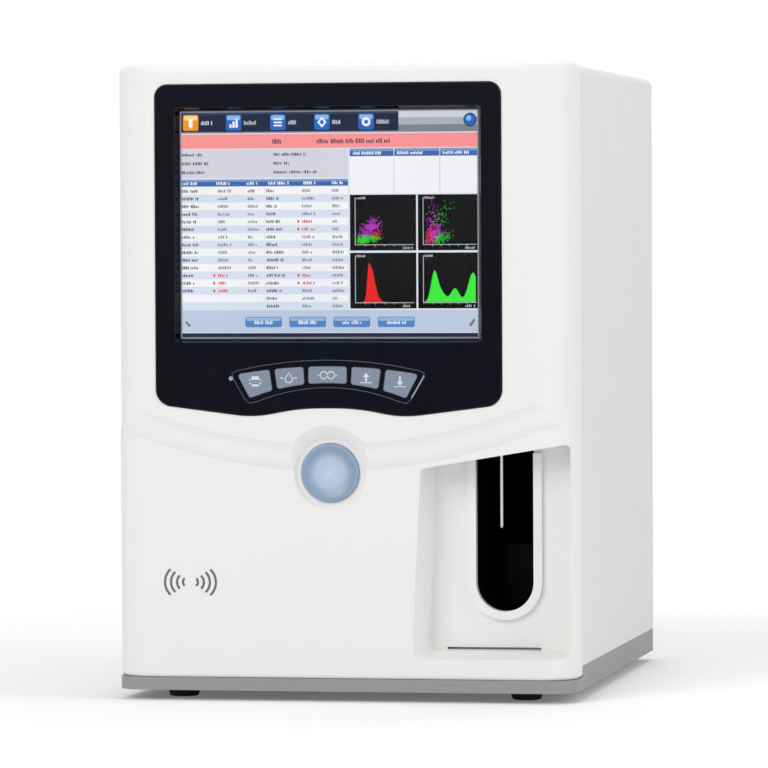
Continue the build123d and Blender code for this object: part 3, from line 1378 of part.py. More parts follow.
def belt_face(radius):
    """Outline of two equal pulleys joined by straight runs, in Y and Z."""
    low = BELT_Z - radius
    high = BELT_Z + radius
    edges = [
        RadiusArc((IDLER_Y, high), (IDLER_Y, low), -radius),
        Line((IDLER_Y, low), (DRIVE_Y, low)),
        RadiusArc((DRIVE_Y, low), (DRIVE_Y, high), -radius),
        Line((DRIVE_Y, high), (IDLER_Y, high)),
    ]
    return make_face(edges)


def carriage_belt():
    half = BELT_WIDTH / 2
    outer = along_x(belt_face(PULLEY_RADIUS + BELT_THICKNESS), BELT_X - half, BELT_X + half)
    return outer - along_x(belt_face(PULLEY_RADIUS), BELT_X - half - CUT, BELT_X + half + CUT)


# Fluid pieces

def counting_baths():
    """Clear block with two open cups under the probe's path, on two legs."""
    front = BATH_Y[0] - BATH_FRONT_WALL
    back = BATH_Y[1] + BATH_BACK_WALL
    block = slab(SLOT_X - BATH_HALF, SLOT_X + BATH_HALF, front, back, BATH_LOW, BATH_TOP)
    block = fillet(block.edges().filter_by(Axis.Z), BATH_CORNER)
    cup = [
        (0, BATH_CUP_Z),
        (2, BATH_CUP_Z),
        (BATH_RADIUS, BATH_CONE_Z),
        (BATH_RADIUS, BATH_TOP + CUT),
        (0, BATH_TOP + CUT),
    ]
    for y in BATH_Y:
        block -= turned_z(cup, [0, 0, 3, 0, 0], SLOT_X, y)
    half = BATH_LEG_HALF
    for y in (BATH_Y[0] - 10, BATH_Y[1] + 6):
        block += slab(SLOT_X - half, SLOT_X + half, y, y + BATH_LEG, FLOOR_Z, BATH_LOW)
    return block


def waste_chamber():
    """Bottle with a round shoulder and a screw cap."""
    points = [
        (0, FLOOR_Z),
        (WASTE_RADIUS, FLOOR_Z),
        (WASTE_RADIUS, WASTE_SHOULDER_Z),
        (WASTE_NECK_RADIUS, WASTE_NECK_Z),
        (WASTE_NECK_RADIUS, WASTE_CAP_Z),
        (WASTE_CAP_RADIUS, WASTE_CAP_Z),
        (WASTE_CAP_RADIUS, WASTE_TOP),
        (0, WASTE_TOP),
    ]
    return turned_z(points, [0, 3, 8, 3, 0, 0, 1, 0], WASTE_X, WASTE_Y)


def syringe_frame():
    """Upright plate with clamps for the barrels and bearings for the screws."""
    x0 = SYRINGE_X[0] - SYRINGE_SIDE
    x1 = SYRINGE_X[1] + SYRINGE_SIDE
    y0 = SYRINGE_PLATE_Y
    low = SYRINGE_MOTOR_TOP
    frame = slab(x0, x1, y0, y0 + SYRINGE_PLATE, FLOOR_Z, SYRINGE_PLATE_TOP)
    frame += slab(x0, x1, SYRINGE_Y - 14, y0, low, low + SYRINGE_PLATE)
    for z in (BARREL_LOW + 4, BARREL_HIGH - 14):
        frame += slab(x0, x1, SYRINGE_Y - 12, y0, z, z + CLAMP_HEIGHT)
    for x, radius in zip(SYRINGE_X, BARREL_RADIUS):
        frame -= rod_z(x, SYRINGE_Y, BARREL_LOW, BARREL_HIGH, radius + BARREL_WALL)
        frame -= rod_z(x, SYRINGE_SCREW_Y, low - CUT, BARREL_HIGH, SCREW_RADIUS + SHAFT_FIT)
    return frame


def syringe_barrel(x, radius):
    """Glass barrel with a cone and a hose neck at its top."""
    outer = radius + BARREL_WALL
    neck_z = BARREL_HIGH + BARREL_CONE
    top = neck_z + BARREL_NECK
    points = [
        (radius, BARREL_LOW),
        (outer, BARREL_LOW),
        (outer, BARREL_HIGH),
        (BARREL_NECK_RADIUS, neck_z),
        (BARREL_NECK_RADIUS, top),
        (BARREL_NECK_BORE, top),
        (BARREL_NECK_BORE, BARREL_HIGH - 2),
        (radius, BARREL_HIGH - 2),
    ]
    return turned_z(points, 0, x, SYRINGE_Y)


def syringe_plunger(x, radius):
    """Plunger head, rod and the pusher that rides on the screw."""
    head_z = BARREL_HIGH - PLUNGER_HEAD_BELOW
    head_radius = radius - PLUNGER_FIT
    pusher_top = PUSHER_Z + PUSHER_HEIGHT
    points = [
        (0, pusher_top),
        (PLUNGER_ROD_RADIUS, pusher_top),
        (PLUNGER_ROD_RADIUS, head_z),
        (head_radius, head_z),
        (head_radius, head_z + PLUNGER_HEAD),
        (0, head_z + PLUNGER_HEAD + PLUNGER_TIP),
    ]
    plunger = turned_z(points, 0, x, SYRINGE_Y)
    y0 = SYRINGE_Y - PUSHER_MARGIN
    y1 = SYRINGE_SCREW_Y + PUSHER_MARGIN
    plunger += slab(x - PUSHER_HALF, x + PUSHER_HALF, y0, y1, PUSHER_Z, pusher_top)
    return plunger - rod_z(x, SYRINGE_SCREW_Y, PUSHER_Z - CUT, pusher_top + CUT, SCREW_RADIUS + SHAFT_FIT)


def syringe_screw(x):
    return rod_z(x, SYRINGE_SCREW_Y, SYRINGE_MOTOR_TOP + FIT, BARREL_LOW + 12, SCREW_RADIUS)


def syringe_motor(x):
    half = MOTOR_SMALL / 2
    front = SYRINGE_SCREW_Y - half - 2.5
    return along_z(rounded(x - half, x + half, front, SYRINGE_PLATE_Y, 3), FLOOR_Z, SYRINGE_MOTOR_TOP)


def valve_bank():
    """Manifold plate with two rows of pinch valves facing the front."""
    x0 = SYRINGE_X[1] + SYRINGE_SIDE + 22
    room = SLOT_X - SLOT_RADIUS - COLLAR_WIDTH - FIT - x0
    columns = int(room // VALVE_PITCH)
    x1 = x0 + columns * VALVE_PITCH
    pieces = [slab(x0, x1, VALVE_PLATE_Y, VALVE_PLATE_Y + VALVE_PLATE, FLOOR_Z, VALVE_PLATE_TOP)]
    front = VALVE_PLATE_Y - VALVE_DEPTH
    half_w = VALVE_SIZE / 2
    half_h = VALVE_HEIGHT / 2
    for z in VALVE_ROWS:
        for column in range(columns):
            x = x0 + (column + 0.5) * VALVE_PITCH
            valve = slab(x - half_w, x + half_w, front, VALVE_PLATE_Y, z - half_h, z + half_h)
            pieces.append(valve + rod_y(x, z, front - VALVE_NOSE, front, VALVE_NOSE_RADIUS))
    return pieces


def air_pump(y):
    """Diaphragm pump with its round motor lying along X."""
    x0 = PUMP_LEFT
    x1 = x0 + PUMP_HEAD_LENGTH
    half = PUMP_HEAD_HALF
    pump = slab(x0, x1, y - half, y + half, FLOOR_Z, FLOOR_Z + PUMP_HEAD_HEIGHT)
    pump = fillet(pump.edges().filter_by(Axis.Z), PUMP_CORNER)
    pump += rod_x(y, FLOOR_Z + PUMP_MOTOR_HEIGHT, x1, x1 + PUMP_MOTOR_LENGTH, PUMP_MOTOR_RADIUS)
    foot_offset, foot_length, foot_half, foot_height = PUMP_FOOT
    foot_x = x1 + foot_offset
    pump += slab(foot_x, foot_x + foot_length, y - foot_half, y + foot_half, FLOOR_Z, FLOOR_Z + foot_height)
    stub_z = FLOOR_Z + PUMP_STUB_HEIGHT
    for offset in PUMP_STUBS:
        pump += rod_y(x0 + offset, stub_z, y - half - 6, y - half + 1, PUMP_STUB_RADIUS)
    return pump


def upper_shelf():
    """Shelf on one leg wall, between the side wall and the sampling mechanism."""
    x1 = SHELF_RIGHT
    x0 = x1 - SHELF_SHEET
    low = SHELF_Z - SHELF_SHEET
    shelf = slab(-SIDE_INSIDE, x1, SHELF_START, INSIDE_BACK, low, SHELF_Z)
    shelf += slab(x0, x1, SHELF_START, INSIDE_BACK, FLOOR_Z, low)
    start, end, bottom, top = SHELF_LEG_WINDOW
    window = rounded(SHELF_START + start, INSIDE_BACK - end, bottom, top, 10)
    return shelf - along_x(window, x0 - CUT, x1 + CUT)


def optical_bench():
    """Base plate with the laser tube, the flow cell block and the detector housings."""
    x0 = BENCH_LEFT
    y = BENCH_Y
    top = SHELF_Z + BENCH_THICKNESS
    beam = SHELF_Z + BEAM_HEIGHT
    bench = slab(x0, x0 + BENCH_LENGTH, y - BENCH_HALF, y + BENCH_HALF, SHELF_Z, top)
    bench = fillet(bench.edges().filter_by(Axis.Z), BATH_CORNER)
    clamp_x, clamp_y = CLAMP_HALF
    for offset in LASER_CLAMPS:
        x = x0 + clamp_x + offset
        bench += slab(x - clamp_x, x + clamp_x, y - clamp_y, y + clamp_y, top, SHELF_Z + CLAMP_TOP)
    laser_end = x0 + 8 + LASER_LENGTH
    bench += rod_x(y, beam, x0 + 8, laser_end, LASER_RADIUS)
    cell = x0 + FLOW_CELL_OFFSET
    cell_end = cell + FLOW_CELL_LENGTH
    cell_x = (cell + cell_end) / 2
    cell_top = SHELF_Z + FLOW_CELL_TOP
    bench += slab(cell, cell_end, y - clamp_y, y + clamp_y, top, cell_top)
    bench += rod_z(cell_x, y, cell_top, SHELF_Z + FLOW_CELL_NECK_TOP, FLOW_CELL_NECK_RADIUS)
    bench += rod_x(y, beam, laser_end, cell, BEAM_TUBE_RADIUS)
    detector = x0 + DETECTOR_OFFSET
    half = DETECTOR_HALF
    bench += slab(detector, detector + DETECTOR_LENGTH, y - half, y + half, top, SHELF_Z + DETECTOR_TOP)
    bench += rod_x(y, beam, cell_end, detector, DETECTOR_TUBE_RADIUS)
    side_y = y + SIDE_DETECTOR_START
    bench += slab(cell_x - half, cell_x + half, side_y, side_y + half, top, SHELF_Z + SIDE_DETECTOR_TOP)
    return bench + rod_y(cell_x, beam, y + clamp_y, side_y, SIDE_DETECTOR_TUBE_RADIUS)


def main_board():
    """Processor board on four posts over the shelf's rear half."""
    x0 = MAIN_BOARD_LEFT
    x1 = x0 + MAIN_BOARD_WIDTH
    y1 = INSIDE_BACK - 6
    y0 = y1 - MAIN_BOARD_DEPTH
    low = SHELF_Z + MAIN_BOARD_HEIGHT
    high = low + BOARD_THICKNESS
    board = slab(x0, x1, y0, y1, low, high)
    inset = MAIN_BOARD_INSET
    for x in (x0 + inset, x1 - inset):
        for y in (y0 + inset, y1 - inset):
            board += rod_z(x, y, SHELF_Z, low, MAIN_POST_RADIUS)
    chips = ((PROCESSOR_PLACE, PROCESSOR_SIZE, PROCESSOR_TOP), (MEMORY_PLACE, MEMORY_SIZE, MEMORY_TOP))
    for (x, y), size, top in chips:
        board += slab(x0 + x, x0 + x + size, y0 + y, y0 + y + size, high, low + top)
    for index in range(SOCKET_COUNT):
        x = x0 + 10 + index * SOCKET_PITCH
        board += slab(x, x + SOCKET_WIDTH, y1 - 3 - SOCKET_DEPTH, y1 - 3, high, low + SOCKET_TOP)
    return board


def power_supply():
    """Vented steel case on the floor beside the mains inlet."""
    x0 = SUPPLY_LEFT
    x1 = x0 + SUPPLY_WIDTH
    y0 = INSIDE_BACK - SUPPLY_LENGTH
    top = FLOOR_Z + SUPPLY_HEIGHT
    case = slab(x0, x1, y0, INSIDE_BACK, FLOOR_Z, top)
    inset = SUPPLY_VENT_INSET
    for row in range(SUPPLY_VENTS):
        y = y0 + 20 + row * SUPPLY_VENT_PITCH
        case -= along_z(rounded(x0 + inset, x1 - inset, y - 2, y + 2, 1.9), top - 2, top + CUT)
    return case


def main():
    os.makedirs("parts", exist_ok=True)
    save("front_cover", front_cover())
    save("top_cover", top_cover())
    save("left_side_panel", side_panel(-1))
    save("right_side_panel", side_panel(1))
    save("rear_panel", rear_panel(), port_plate())
    save("base_tray", base_tray())
    save("rubber_feet", *rubber_feet())
    save("cover_screws", *cover_screws())
    save("display_bezel", display_bezel())
    save("touch_glass", touch_glass())
    save("lcd_module", lcd_module())
    save("display_bracket", display_bracket())
    save("keypad_board", keypad_board())
    save("status_lamp", status_lamp())
    for index, name in enumerate(KEY_NAMES):
        save(name, panel_key(index))
    save("start_key", start_key())
    save("start_key_holder", start_key_holder())
    save("start_key_spring", start_key_spring())
    save("reader_board", reader_board())
    save("drip_tray", drip_tray())
    save("probe_slot_liner", probe_slot_liner())
    save("chassis_frame", chassis_frame())
    save("sampling_plate", sampling_plate())
    save("carriage_rail", carriage_rail())
    save("probe_carriage", probe_carriage())
    save("probe_wash_block", probe_wash_block())
    save("probe_slider", probe_slider())
    save("aspiration_probe", aspiration_probe())
    save("slider_lead_screw", slider_lead_screw())
    save("slider_motor", slider_motor())
    save("carriage_motor", carriage_motor())
    save("drive_pulley", drive_pulley())
    save("idler_pulley", idler_pulley())
    save("carriage_belt", carriage_belt())
    save("counting_baths", counting_baths())
    save("waste_chamber", waste_chamber())
    save("syringe_frame", syringe_frame())
    save("syringe_barrels", *[syringe_barrel(x, r) for x, r in zip(SYRINGE_X, BARREL_RADIUS)])
    for name, x, radius in zip(("sample", "diluent"), SYRINGE_X, BARREL_RADIUS):
        save(f"{name}_plunger", syringe_plunger(x, radius))
        save(f"{name}_screw", syringe_screw(x))
    save("syringe_motors", *[syringe_motor(x) for x in SYRINGE_X])
    save("valve_bank", *valve_bank())
    save("air_pumps", *[air_pump(y) for y in PUMP_PLACES])
    save("upper_shelf", upper_shelf())
    save("optical_bench", optical_bench())
    save("main_board", main_board())
    save("power_supply", power_supply())
    save("fan_frame", fan_frame())
    save("fan_rotor", fan_rotor())
    save("fan_grille", fan_grille())
    save("mains_inlet", mains_inlet())
    save("power_rocker", power_rocker())
    save("interface_ports", interface_ports())
    save("reagent_ports", *[reagent_port(x) for x in REAGENT_X])


main()
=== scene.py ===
import json
import math
import random

import bmesh
import bpy
from mathutils import Matrix, Vector


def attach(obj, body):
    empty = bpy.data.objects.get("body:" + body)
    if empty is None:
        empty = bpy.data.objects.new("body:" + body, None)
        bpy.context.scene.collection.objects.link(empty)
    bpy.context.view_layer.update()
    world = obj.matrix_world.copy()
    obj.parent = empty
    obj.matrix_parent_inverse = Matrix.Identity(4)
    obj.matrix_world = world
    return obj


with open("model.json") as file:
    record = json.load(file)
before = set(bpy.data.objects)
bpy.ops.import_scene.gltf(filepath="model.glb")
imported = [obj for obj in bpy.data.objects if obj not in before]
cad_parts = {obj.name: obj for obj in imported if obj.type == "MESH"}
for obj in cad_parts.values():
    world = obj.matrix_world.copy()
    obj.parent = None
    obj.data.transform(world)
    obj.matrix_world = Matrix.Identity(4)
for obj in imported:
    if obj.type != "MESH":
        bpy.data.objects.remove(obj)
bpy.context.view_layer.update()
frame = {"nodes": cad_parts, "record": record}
scene = bpy.context.scene

# Sizes in millimetres, as the CAD source has them. Y is the distance behind the front plane.
FRONT_SHIFT = -210.4
BODY_DEPTH = 405.0
PANEL_X = -9.0
SCREEN_WIDTH = 211.2
SCREEN_HEIGHT = 158.4
SCREEN_Z = 332.0
LCD_FACE_Y = 7.6
# Depth of the painted highlight round the screen opening
HIGHLIGHT_Y = 6.0
BEZEL_Y = -1.0
KEY_Y = -2.2
LOWER_Y = 5.0
START_Z = 159.4
START_RADIUS = 20.5
INLET_X = -118.0
INLET_Z = 62.0
PORT_X = -110.0
PORT_ROWS = (330.0, 305.0, 280.0, 255.0)
# Heads of the panel screws, the plate's screws and the fan guard's screws: x, z and the seat's Y
SCREW_SEATS = [(x, z, BODY_DEPTH) for x in (-148.0, 148.0) for z in (40.0, 228.0, 418.0)]
SCREW_SEATS += [(PORT_X, z, BODY_DEPTH + 1.0) for z in (242.8, 343.2)]
SCREW_SEATS += [(x, z, BODY_DEPTH + 1.5) for x in (-35.75, 35.75) for z in (314.25, 385.75)]


def place(x, y, z):
    """A point of the CAD source, in metres in the part's frame."""
    return Vector((x, y + FRONT_SHIFT, z)) / 1000


def tone(red, green, blue):
    """Linear colour of a screen colour from 0 to 255."""
    def linear(value):
        v = value / 255
        return v / 12.92 if v <= 0.04045 else ((v + 0.055) / 1.055) ** 2.4
    return (linear(red), linear(green), linear(blue), 1)


# Camera at the photograph's place

CAMERA_YAW = math.radians(10.67)
CAMERA_PITCH = math.radians(1.59)
CAMERA_ROLL = math.radians(-0.27)
CAMERA_PLACE = (715.0, -3633.0, 324.0)
CAMERA_LENS = 250.45

ahead = Vector((
    -math.sin(CAMERA_YAW) * math.cos(CAMERA_PITCH),
    math.cos(CAMERA_YAW) * math.cos(CAMERA_PITCH),
    -math.sin(CAMERA_PITCH),
))
right = Vector((math.cos(CAMERA_YAW), math.sin(CAMERA_YAW), 0))
up = right.cross(ahead)
right_rolled = math.cos(CAMERA_ROLL) * right + math.sin(CAMERA_ROLL) * up
up_rolled = -math.sin(CAMERA_ROLL) * right + math.cos(CAMERA_ROLL) * up
camera_data = bpy.data.cameras.new("camera")
camera_data.lens = CAMERA_LENS
camera_data.sensor_width = 36
camera_data.clip_end = 60
camera = bpy.data.objects.new("camera", camera_data)
scene.collection.objects.link(camera)
turn = Matrix((right_rolled, up_rolled, -ahead)).transposed()
camera.matrix_world = Matrix.Translation(place(*CAMERA_PLACE)) @ turn.to_4x4()
scene.camera = camera
scene.view_settings.view_transform = "Standard"


# Light

def area_light(name, where, target, size, power, colour=(1, 1, 1)):
    """Round lamp at a place, turned to a target; places and size in metres, power in watts."""
    data = bpy.data.lights.new(name, "AREA")
    data.shape = "DISK"
    data.size = size
    data.energy = power
    data.color = colour
    lamp = bpy.data.objects.new(name, data)
    scene.collection.objects.link(lamp)
    lamp.location = where
    lamp.rotation_mode = "QUATERNION"
    lamp.rotation_quaternion = (Vector(target) - Vector(where)).to_track_quat("-Z", "Y")


WARM_WHITE = (1.0, 0.99, 0.975)
area_light("key_light", (-1.5, -3.4, 2.3), (0, -0.1, 0.25), size=2.4, power=62, colour=WARM_WHITE)
area_light("fill_light", (3.6, -1.0, 1.6), (0, 0, 0.22), size=2.2, power=38)
area_light("top_light", (0.2, 0.6, 3.4), (0, 0, 0.2), size=2.6, power=30)

# The world lights the scene softly, and the camera and the reflections see a white backdrop
WORLD_LIGHT = 0.5
world = bpy.data.worlds.new("studio")
scene.world = world
world.use_nodes = True
tree = world.node_tree
tree.nodes.clear()
seen = tree.nodes.new("ShaderNodeLightPath")
glossy = tree.nodes.new("ShaderNodeMath")
glossy.operation = "MAXIMUM"
through = tree.nodes.new("ShaderNodeMath")
through.operation = "MAXIMUM"
fill = tree.nodes.new("ShaderNodeBackground")
fill.inputs["Color"].default_value = (1, 1, 1, 1)
fill.inputs["Strength"].default_value = WORLD_LIGHT
backdrop = tree.nodes.new("ShaderNodeBackground")
backdrop.inputs["Color"].default_value = (1, 1, 1, 1)
backdrop.inputs["Strength"].default_value = 1.0
chosen = tree.nodes.new("ShaderNodeMixShader")
out = tree.nodes.new("ShaderNodeOutputWorld")
tree.links.new(seen.outputs["Is Camera Ray"], glossy.inputs[0])
tree.links.new(seen.outputs["Is Glossy Ray"], glossy.inputs[1])
tree.links.new(glossy.outputs[0], through.inputs[0])
tree.links.new(seen.outputs["Is Transmission Ray"], through.inputs[1])
tree.links.new(through.outputs[0], chosen.inputs[0])
tree.links.new(fill.outputs[0], chosen.inputs[1])
tree.links.new(backdrop.outputs[0], chosen.inputs[2])
tree.links.new(chosen.outputs[0], out.inputs[0])


# Materials

def blank(name):
    """New material with its nodes and links."""
    made = bpy.data.materials.new(name)
    made.use_nodes = True
    return made, made.node_tree.nodes, made.node_tree.links


def noise_from(nodes, links, vector, scale, detail=3.0, stretch=(1, 1, 1)):
    """Noise over a place; stretch packs it closer along an axis, as on brushed metal."""
    mapping = nodes.new("ShaderNodeMapping")
    mapping.inputs["Scale"].default_value = stretch
    links.new(vector, mapping.inputs["Vector"])
    noise = nodes.new("ShaderNodeTexNoise")
    noise.inputs["Scale"].default_value = scale
    noise.inputs["Detail"].default_value = detail
    links.new(mapping.outputs["Vector"], noise.inputs["Vector"])
    return noise.outputs["Fac"]


# Most of a noise's values lie between these two
NOISE_LOW = 0.3
NOISE_HIGH = 0.7


def between(nodes, links, factor, low, high):
    """Value that goes from low to high with a noise."""
    ramp = nodes.new("ShaderNodeMapRange")
    ramp.inputs["From Min"].default_value = NOISE_LOW
    ramp.inputs["From Max"].default_value = NOISE_HIGH
    ramp.inputs["To Min"].default_value = low
    ramp.inputs["To Max"].default_value = high
    links.new(factor, ramp.inputs["Value"])
    return ramp.outputs["Result"]


def two_tones(nodes, links, factor, first, second):
    """Colour that goes from the first to the second with a noise."""
    ramp = nodes.new("ShaderNodeValToRGB")
    ramp.color_ramp.elements[0].position = NOISE_LOW
    ramp.color_ramp.elements[0].color = first
    ramp.color_ramp.elements[1].position = NOISE_HIGH
    ramp.color_ramp.elements[1].color = second
    links.new(factor, ramp.inputs["Fac"])
    return ramp.outputs["Color"]


def shade(colour, amount):
    return tuple(min(1.0, c * amount) for c in colour[:3]) + (1,)


# A worn edge turns towards grey: dark finishes get paler there and white ones a little darker
WORN_GREY = 0.28
WORN_TINT = 0.42
# Width of the worn band in metres, and how far the rounded normal turns where wear starts and is full
WEAR_WIDTH = 0.0009
WEAR_STARTS = 0.99
WEAR_FULL = 0.8


def edge_wear(nodes, links):
    """Share of wear: one along the edges of a form, zero on its open faces."""
    bevel = nodes.new("ShaderNodeBevel")
    bevel.samples = 4
    bevel.inputs["Radius"].default_value = WEAR_WIDTH
    across = nodes.new("ShaderNodeVectorMath")
    across.operation = "DOT_PRODUCT"
    links.new(bevel.outputs["Normal"], across.inputs[0])
    links.new(nodes.new("ShaderNodeNewGeometry").outputs["Normal"], across.inputs[1])
    share = nodes.new("ShaderNodeMapRange")
    share.inputs["From Min"].default_value = WEAR_STARTS
    share.inputs["From Max"].default_value = WEAR_FULL
    links.new(across.outputs["Value"], share.inputs["Value"])
    return share.outputs["Result"]


def finish_of(name, colour, rough, metal=0.0, vary=0.03, patch=14.0, grain=1400.0, bump=0.12,
              depth=0.00006, stretch=(1, 1, 1), specular=0.5, rough_span=0.06,
              clear=0.0, ior=1.45, wear=0.2):
    """Plastic, paint or metal: slow tone changes, a fine grain in roughness and relief, worn edges."""
    made, nodes, links = blank(name)
    skin = nodes["Principled BSDF"]
    place_in = nodes.new("ShaderNodeTexCoord").outputs["Object"]
    slow = noise_from(nodes, links, place_in, patch, 4.0)
    fine = noise_from(nodes, links, place_in, grain, 2.0, stretch)
    tones = two_tones(nodes, links, slow, shade(colour, 1 - vary), shade(colour, 1 + vary))
    worn = nodes.new("ShaderNodeMath")
    worn.operation = "MULTIPLY"
    links.new(edge_wear(nodes, links), worn.inputs[0])
    links.new(between(nodes, links, slow, wear * 0.5, wear), worn.inputs[1])
    mixed = nodes.new("ShaderNodeMix")
    mixed.data_type = "RGBA"
    links.new(worn.outputs[0], mixed.inputs["Factor"])
    links.new(tones, mixed.inputs["A"])
    mixed.inputs["B"].default_value = tuple(WORN_GREY + WORN_TINT * c for c in colour[:3]) + (1,)
    links.new(mixed.outputs["Result"], skin.inputs["Base Color"])
    low = max(0.02, rough - rough_span)
    high = min(1.0, rough + rough_span)
    links.new(between(nodes, links, fine, low, high), skin.inputs["Roughness"])
    relief = nodes.new("ShaderNodeBump")
    relief.inputs["Strength"].default_value = bump
    relief.inputs["Distance"].default_value = depth
    links.new(fine, relief.inputs["Height"])
    links.new(relief.outputs["Normal"], skin.inputs["Normal"])
    skin.inputs["Metallic"].default_value = metal
    skin.inputs["Specular IOR Level"].default_value = specular
    skin.inputs["IOR"].default_value = ior
    skin.inputs["Transmission Weight"].default_value = clear
    return made


WHITE = (0.862, 0.856, 0.845, 1)
PANEL = (0.765, 0.765, 0.76, 1)
BRUSHED = (1, 1, 14)
finishes = {
    "cover_white": finish_of("cover_white", WHITE, 0.42, vary=0.006, bump=0.1),
    "panel_white": finish_of("panel_white", PANEL, 0.46, vary=0.008, grain=700, bump=0.16, depth=0.0001),
    "base_grey": finish_of(
        "base_grey", tone(150, 150, 148), 0.55, vary=0.03, grain=1100, bump=0.3,
        depth=0.0001,
    ),
    "foot_rubber": finish_of("foot_rubber", (0.03, 0.03, 0.03, 1), 0.8, vary=0.15, bump=0.4, depth=0.0002),
    "screw_steel": finish_of(
        "screw_steel", (0.6, 0.6, 0.61, 1), 0.3, metal=1.0, vary=0.05,
        rough_span=0.1,
    ),
    "bezel_black": finish_of(
        "bezel_black", tone(7, 8, 20), 0.14, vary=0.1, grain=60, bump=0.0, specular=0.12,
        rough_span=0.04,
    ),
    "bracket_steel": finish_of(
        "bracket_steel", (0.58, 0.59, 0.6, 1), 0.36, metal=1.0, vary=0.08, patch=40,
        stretch=BRUSHED,
    ),
    "board_green": finish_of(
        "board_green", (0.02, 0.16, 0.07, 1), 0.3, vary=0.2, patch=160, grain=400,
        bump=0.3,
    ),
    "key_blue": finish_of("key_blue", tone(128, 139, 157), 0.38, vary=0.02, bump=0.1, specular=0.4),
    "white_part": finish_of("white_part", (0.75, 0.75, 0.73, 1), 0.5, vary=0.02),
    "spring_steel": finish_of("spring_steel", (0.5, 0.5, 0.52, 1), 0.25, metal=1.0),
    # Painted shade: the slot liner is black plastic, and its almost perfect black also stands for the unlit
    # inside of the slot
    "liner_black": finish_of(
        "liner_black", (0.003, 0.003, 0.004, 1), 0.75, vary=0.1, specular=0.04, wear=0.02,
    ),
    "drip_plastic": finish_of("drip_plastic", (0.5, 0.5, 0.5, 1), 0.5, vary=0.04),
    "aluminium": finish_of(
        "aluminium", (0.62, 0.63, 0.65, 1), 0.34, metal=1.0, vary=0.05, stretch=BRUSHED,
    ),
    "probe_steel": finish_of(
        "probe_steel", (0.72, 0.72, 0.74, 1), 0.16, metal=1.0, vary=0.04, stretch=BRUSHED,
    ),
    "motor_black": finish_of("motor_black", (0.03, 0.03, 0.033, 1), 0.42, vary=0.1, grain=800),
    "belt_rubber": finish_of("belt_rubber", (0.025, 0.025, 0.025, 1), 0.75, vary=0.15, bump=0.4),
    "acrylic": finish_of(
        "acrylic", (0.85, 0.9, 0.92, 1), 0.08, vary=0.01, clear=0.85, ior=1.49, bump=0.02,
        rough_span=0.03,
    ),
    "bottle": finish_of("bottle", (0.75, 0.76, 0.74, 1), 0.4, vary=0.03, clear=0.35),
    "valve_white": finish_of("valve_white", (0.7, 0.7, 0.68, 1), 0.45, vary=0.03),
    "case_steel": finish_of("case_steel", (0.55, 0.56, 0.57, 1), 0.38, metal=1.0, vary=0.14, patch=70),
    "fan_black": finish_of("fan_black", (0.02, 0.02, 0.022, 1), 0.5, vary=0.1),
    "inlet_black": finish_of("inlet_black", (0.018, 0.018, 0.019, 1), 0.42, vary=0.1, grain=900, bump=0.2),
    "port_metal": finish_of("port_metal", (0.6, 0.6, 0.62, 1), 0.26, metal=1.0, vary=0.05),
    "nipple": finish_of("nipple", (0.66, 0.66, 0.68, 1), 0.2, metal=1.0, vary=0.04),
    "lamp": finish_of("lamp", tone(150, 160, 175), 0.3, vary=0.03, specular=0.6),
    "screen": finish_of("screen", (0.02, 0.02, 0.024, 1), 0.35, vary=0.1),
}
# Near-black finish for the baths: painted shade for the dark inside of the slot
shade_dark_acrylic = finish_of(
    "shade_dark_acrylic", (0.006, 0.006, 0.008, 1), 0.4, vary=0.1, specular=0.08, wear=0.03,
)
contact_gold = finish_of("contact_gold", (0.8, 0.56, 0.22, 1), 0.22, metal=1.0, vary=0.05)
print_grey = finish_of("print_grey", tone(104, 104, 106), 0.5, vary=0.04, bump=0.05)
sign_pale = finish_of("sign_pale", tone(214, 220, 228), 0.45, vary=0.02, bump=0.05)
line_grey = finish_of("line_grey", tone(74, 80, 98), 0.4, vary=0.08, bump=0.05)
# Silver for painted highlights: the light on the screen opening's bevel and on the right end of the key line
highlight_silver = finish_of("highlight_silver", tone(150, 154, 162), 0.35, vary=0.05, specular=0.6)


def glass_finish():
    """Touch glass with an anti-reflection coat."""
    made, nodes, links = blank("touch_glass")
    skin = nodes["Principled BSDF"]
    place_in = nodes.new("ShaderNodeTexCoord").outputs["Object"]
    smear = noise_from(nodes, links, place_in, 30, 5.0)
    links.new(between(nodes, links, smear, 0.015, 0.05), skin.inputs["Roughness"])
    skin.inputs["Base Color"].default_value = (0.985, 0.99, 1, 1)
    skin.inputs["Transmission Weight"].default_value = 1.0
    skin.inputs["IOR"].default_value = 1.12
    return made


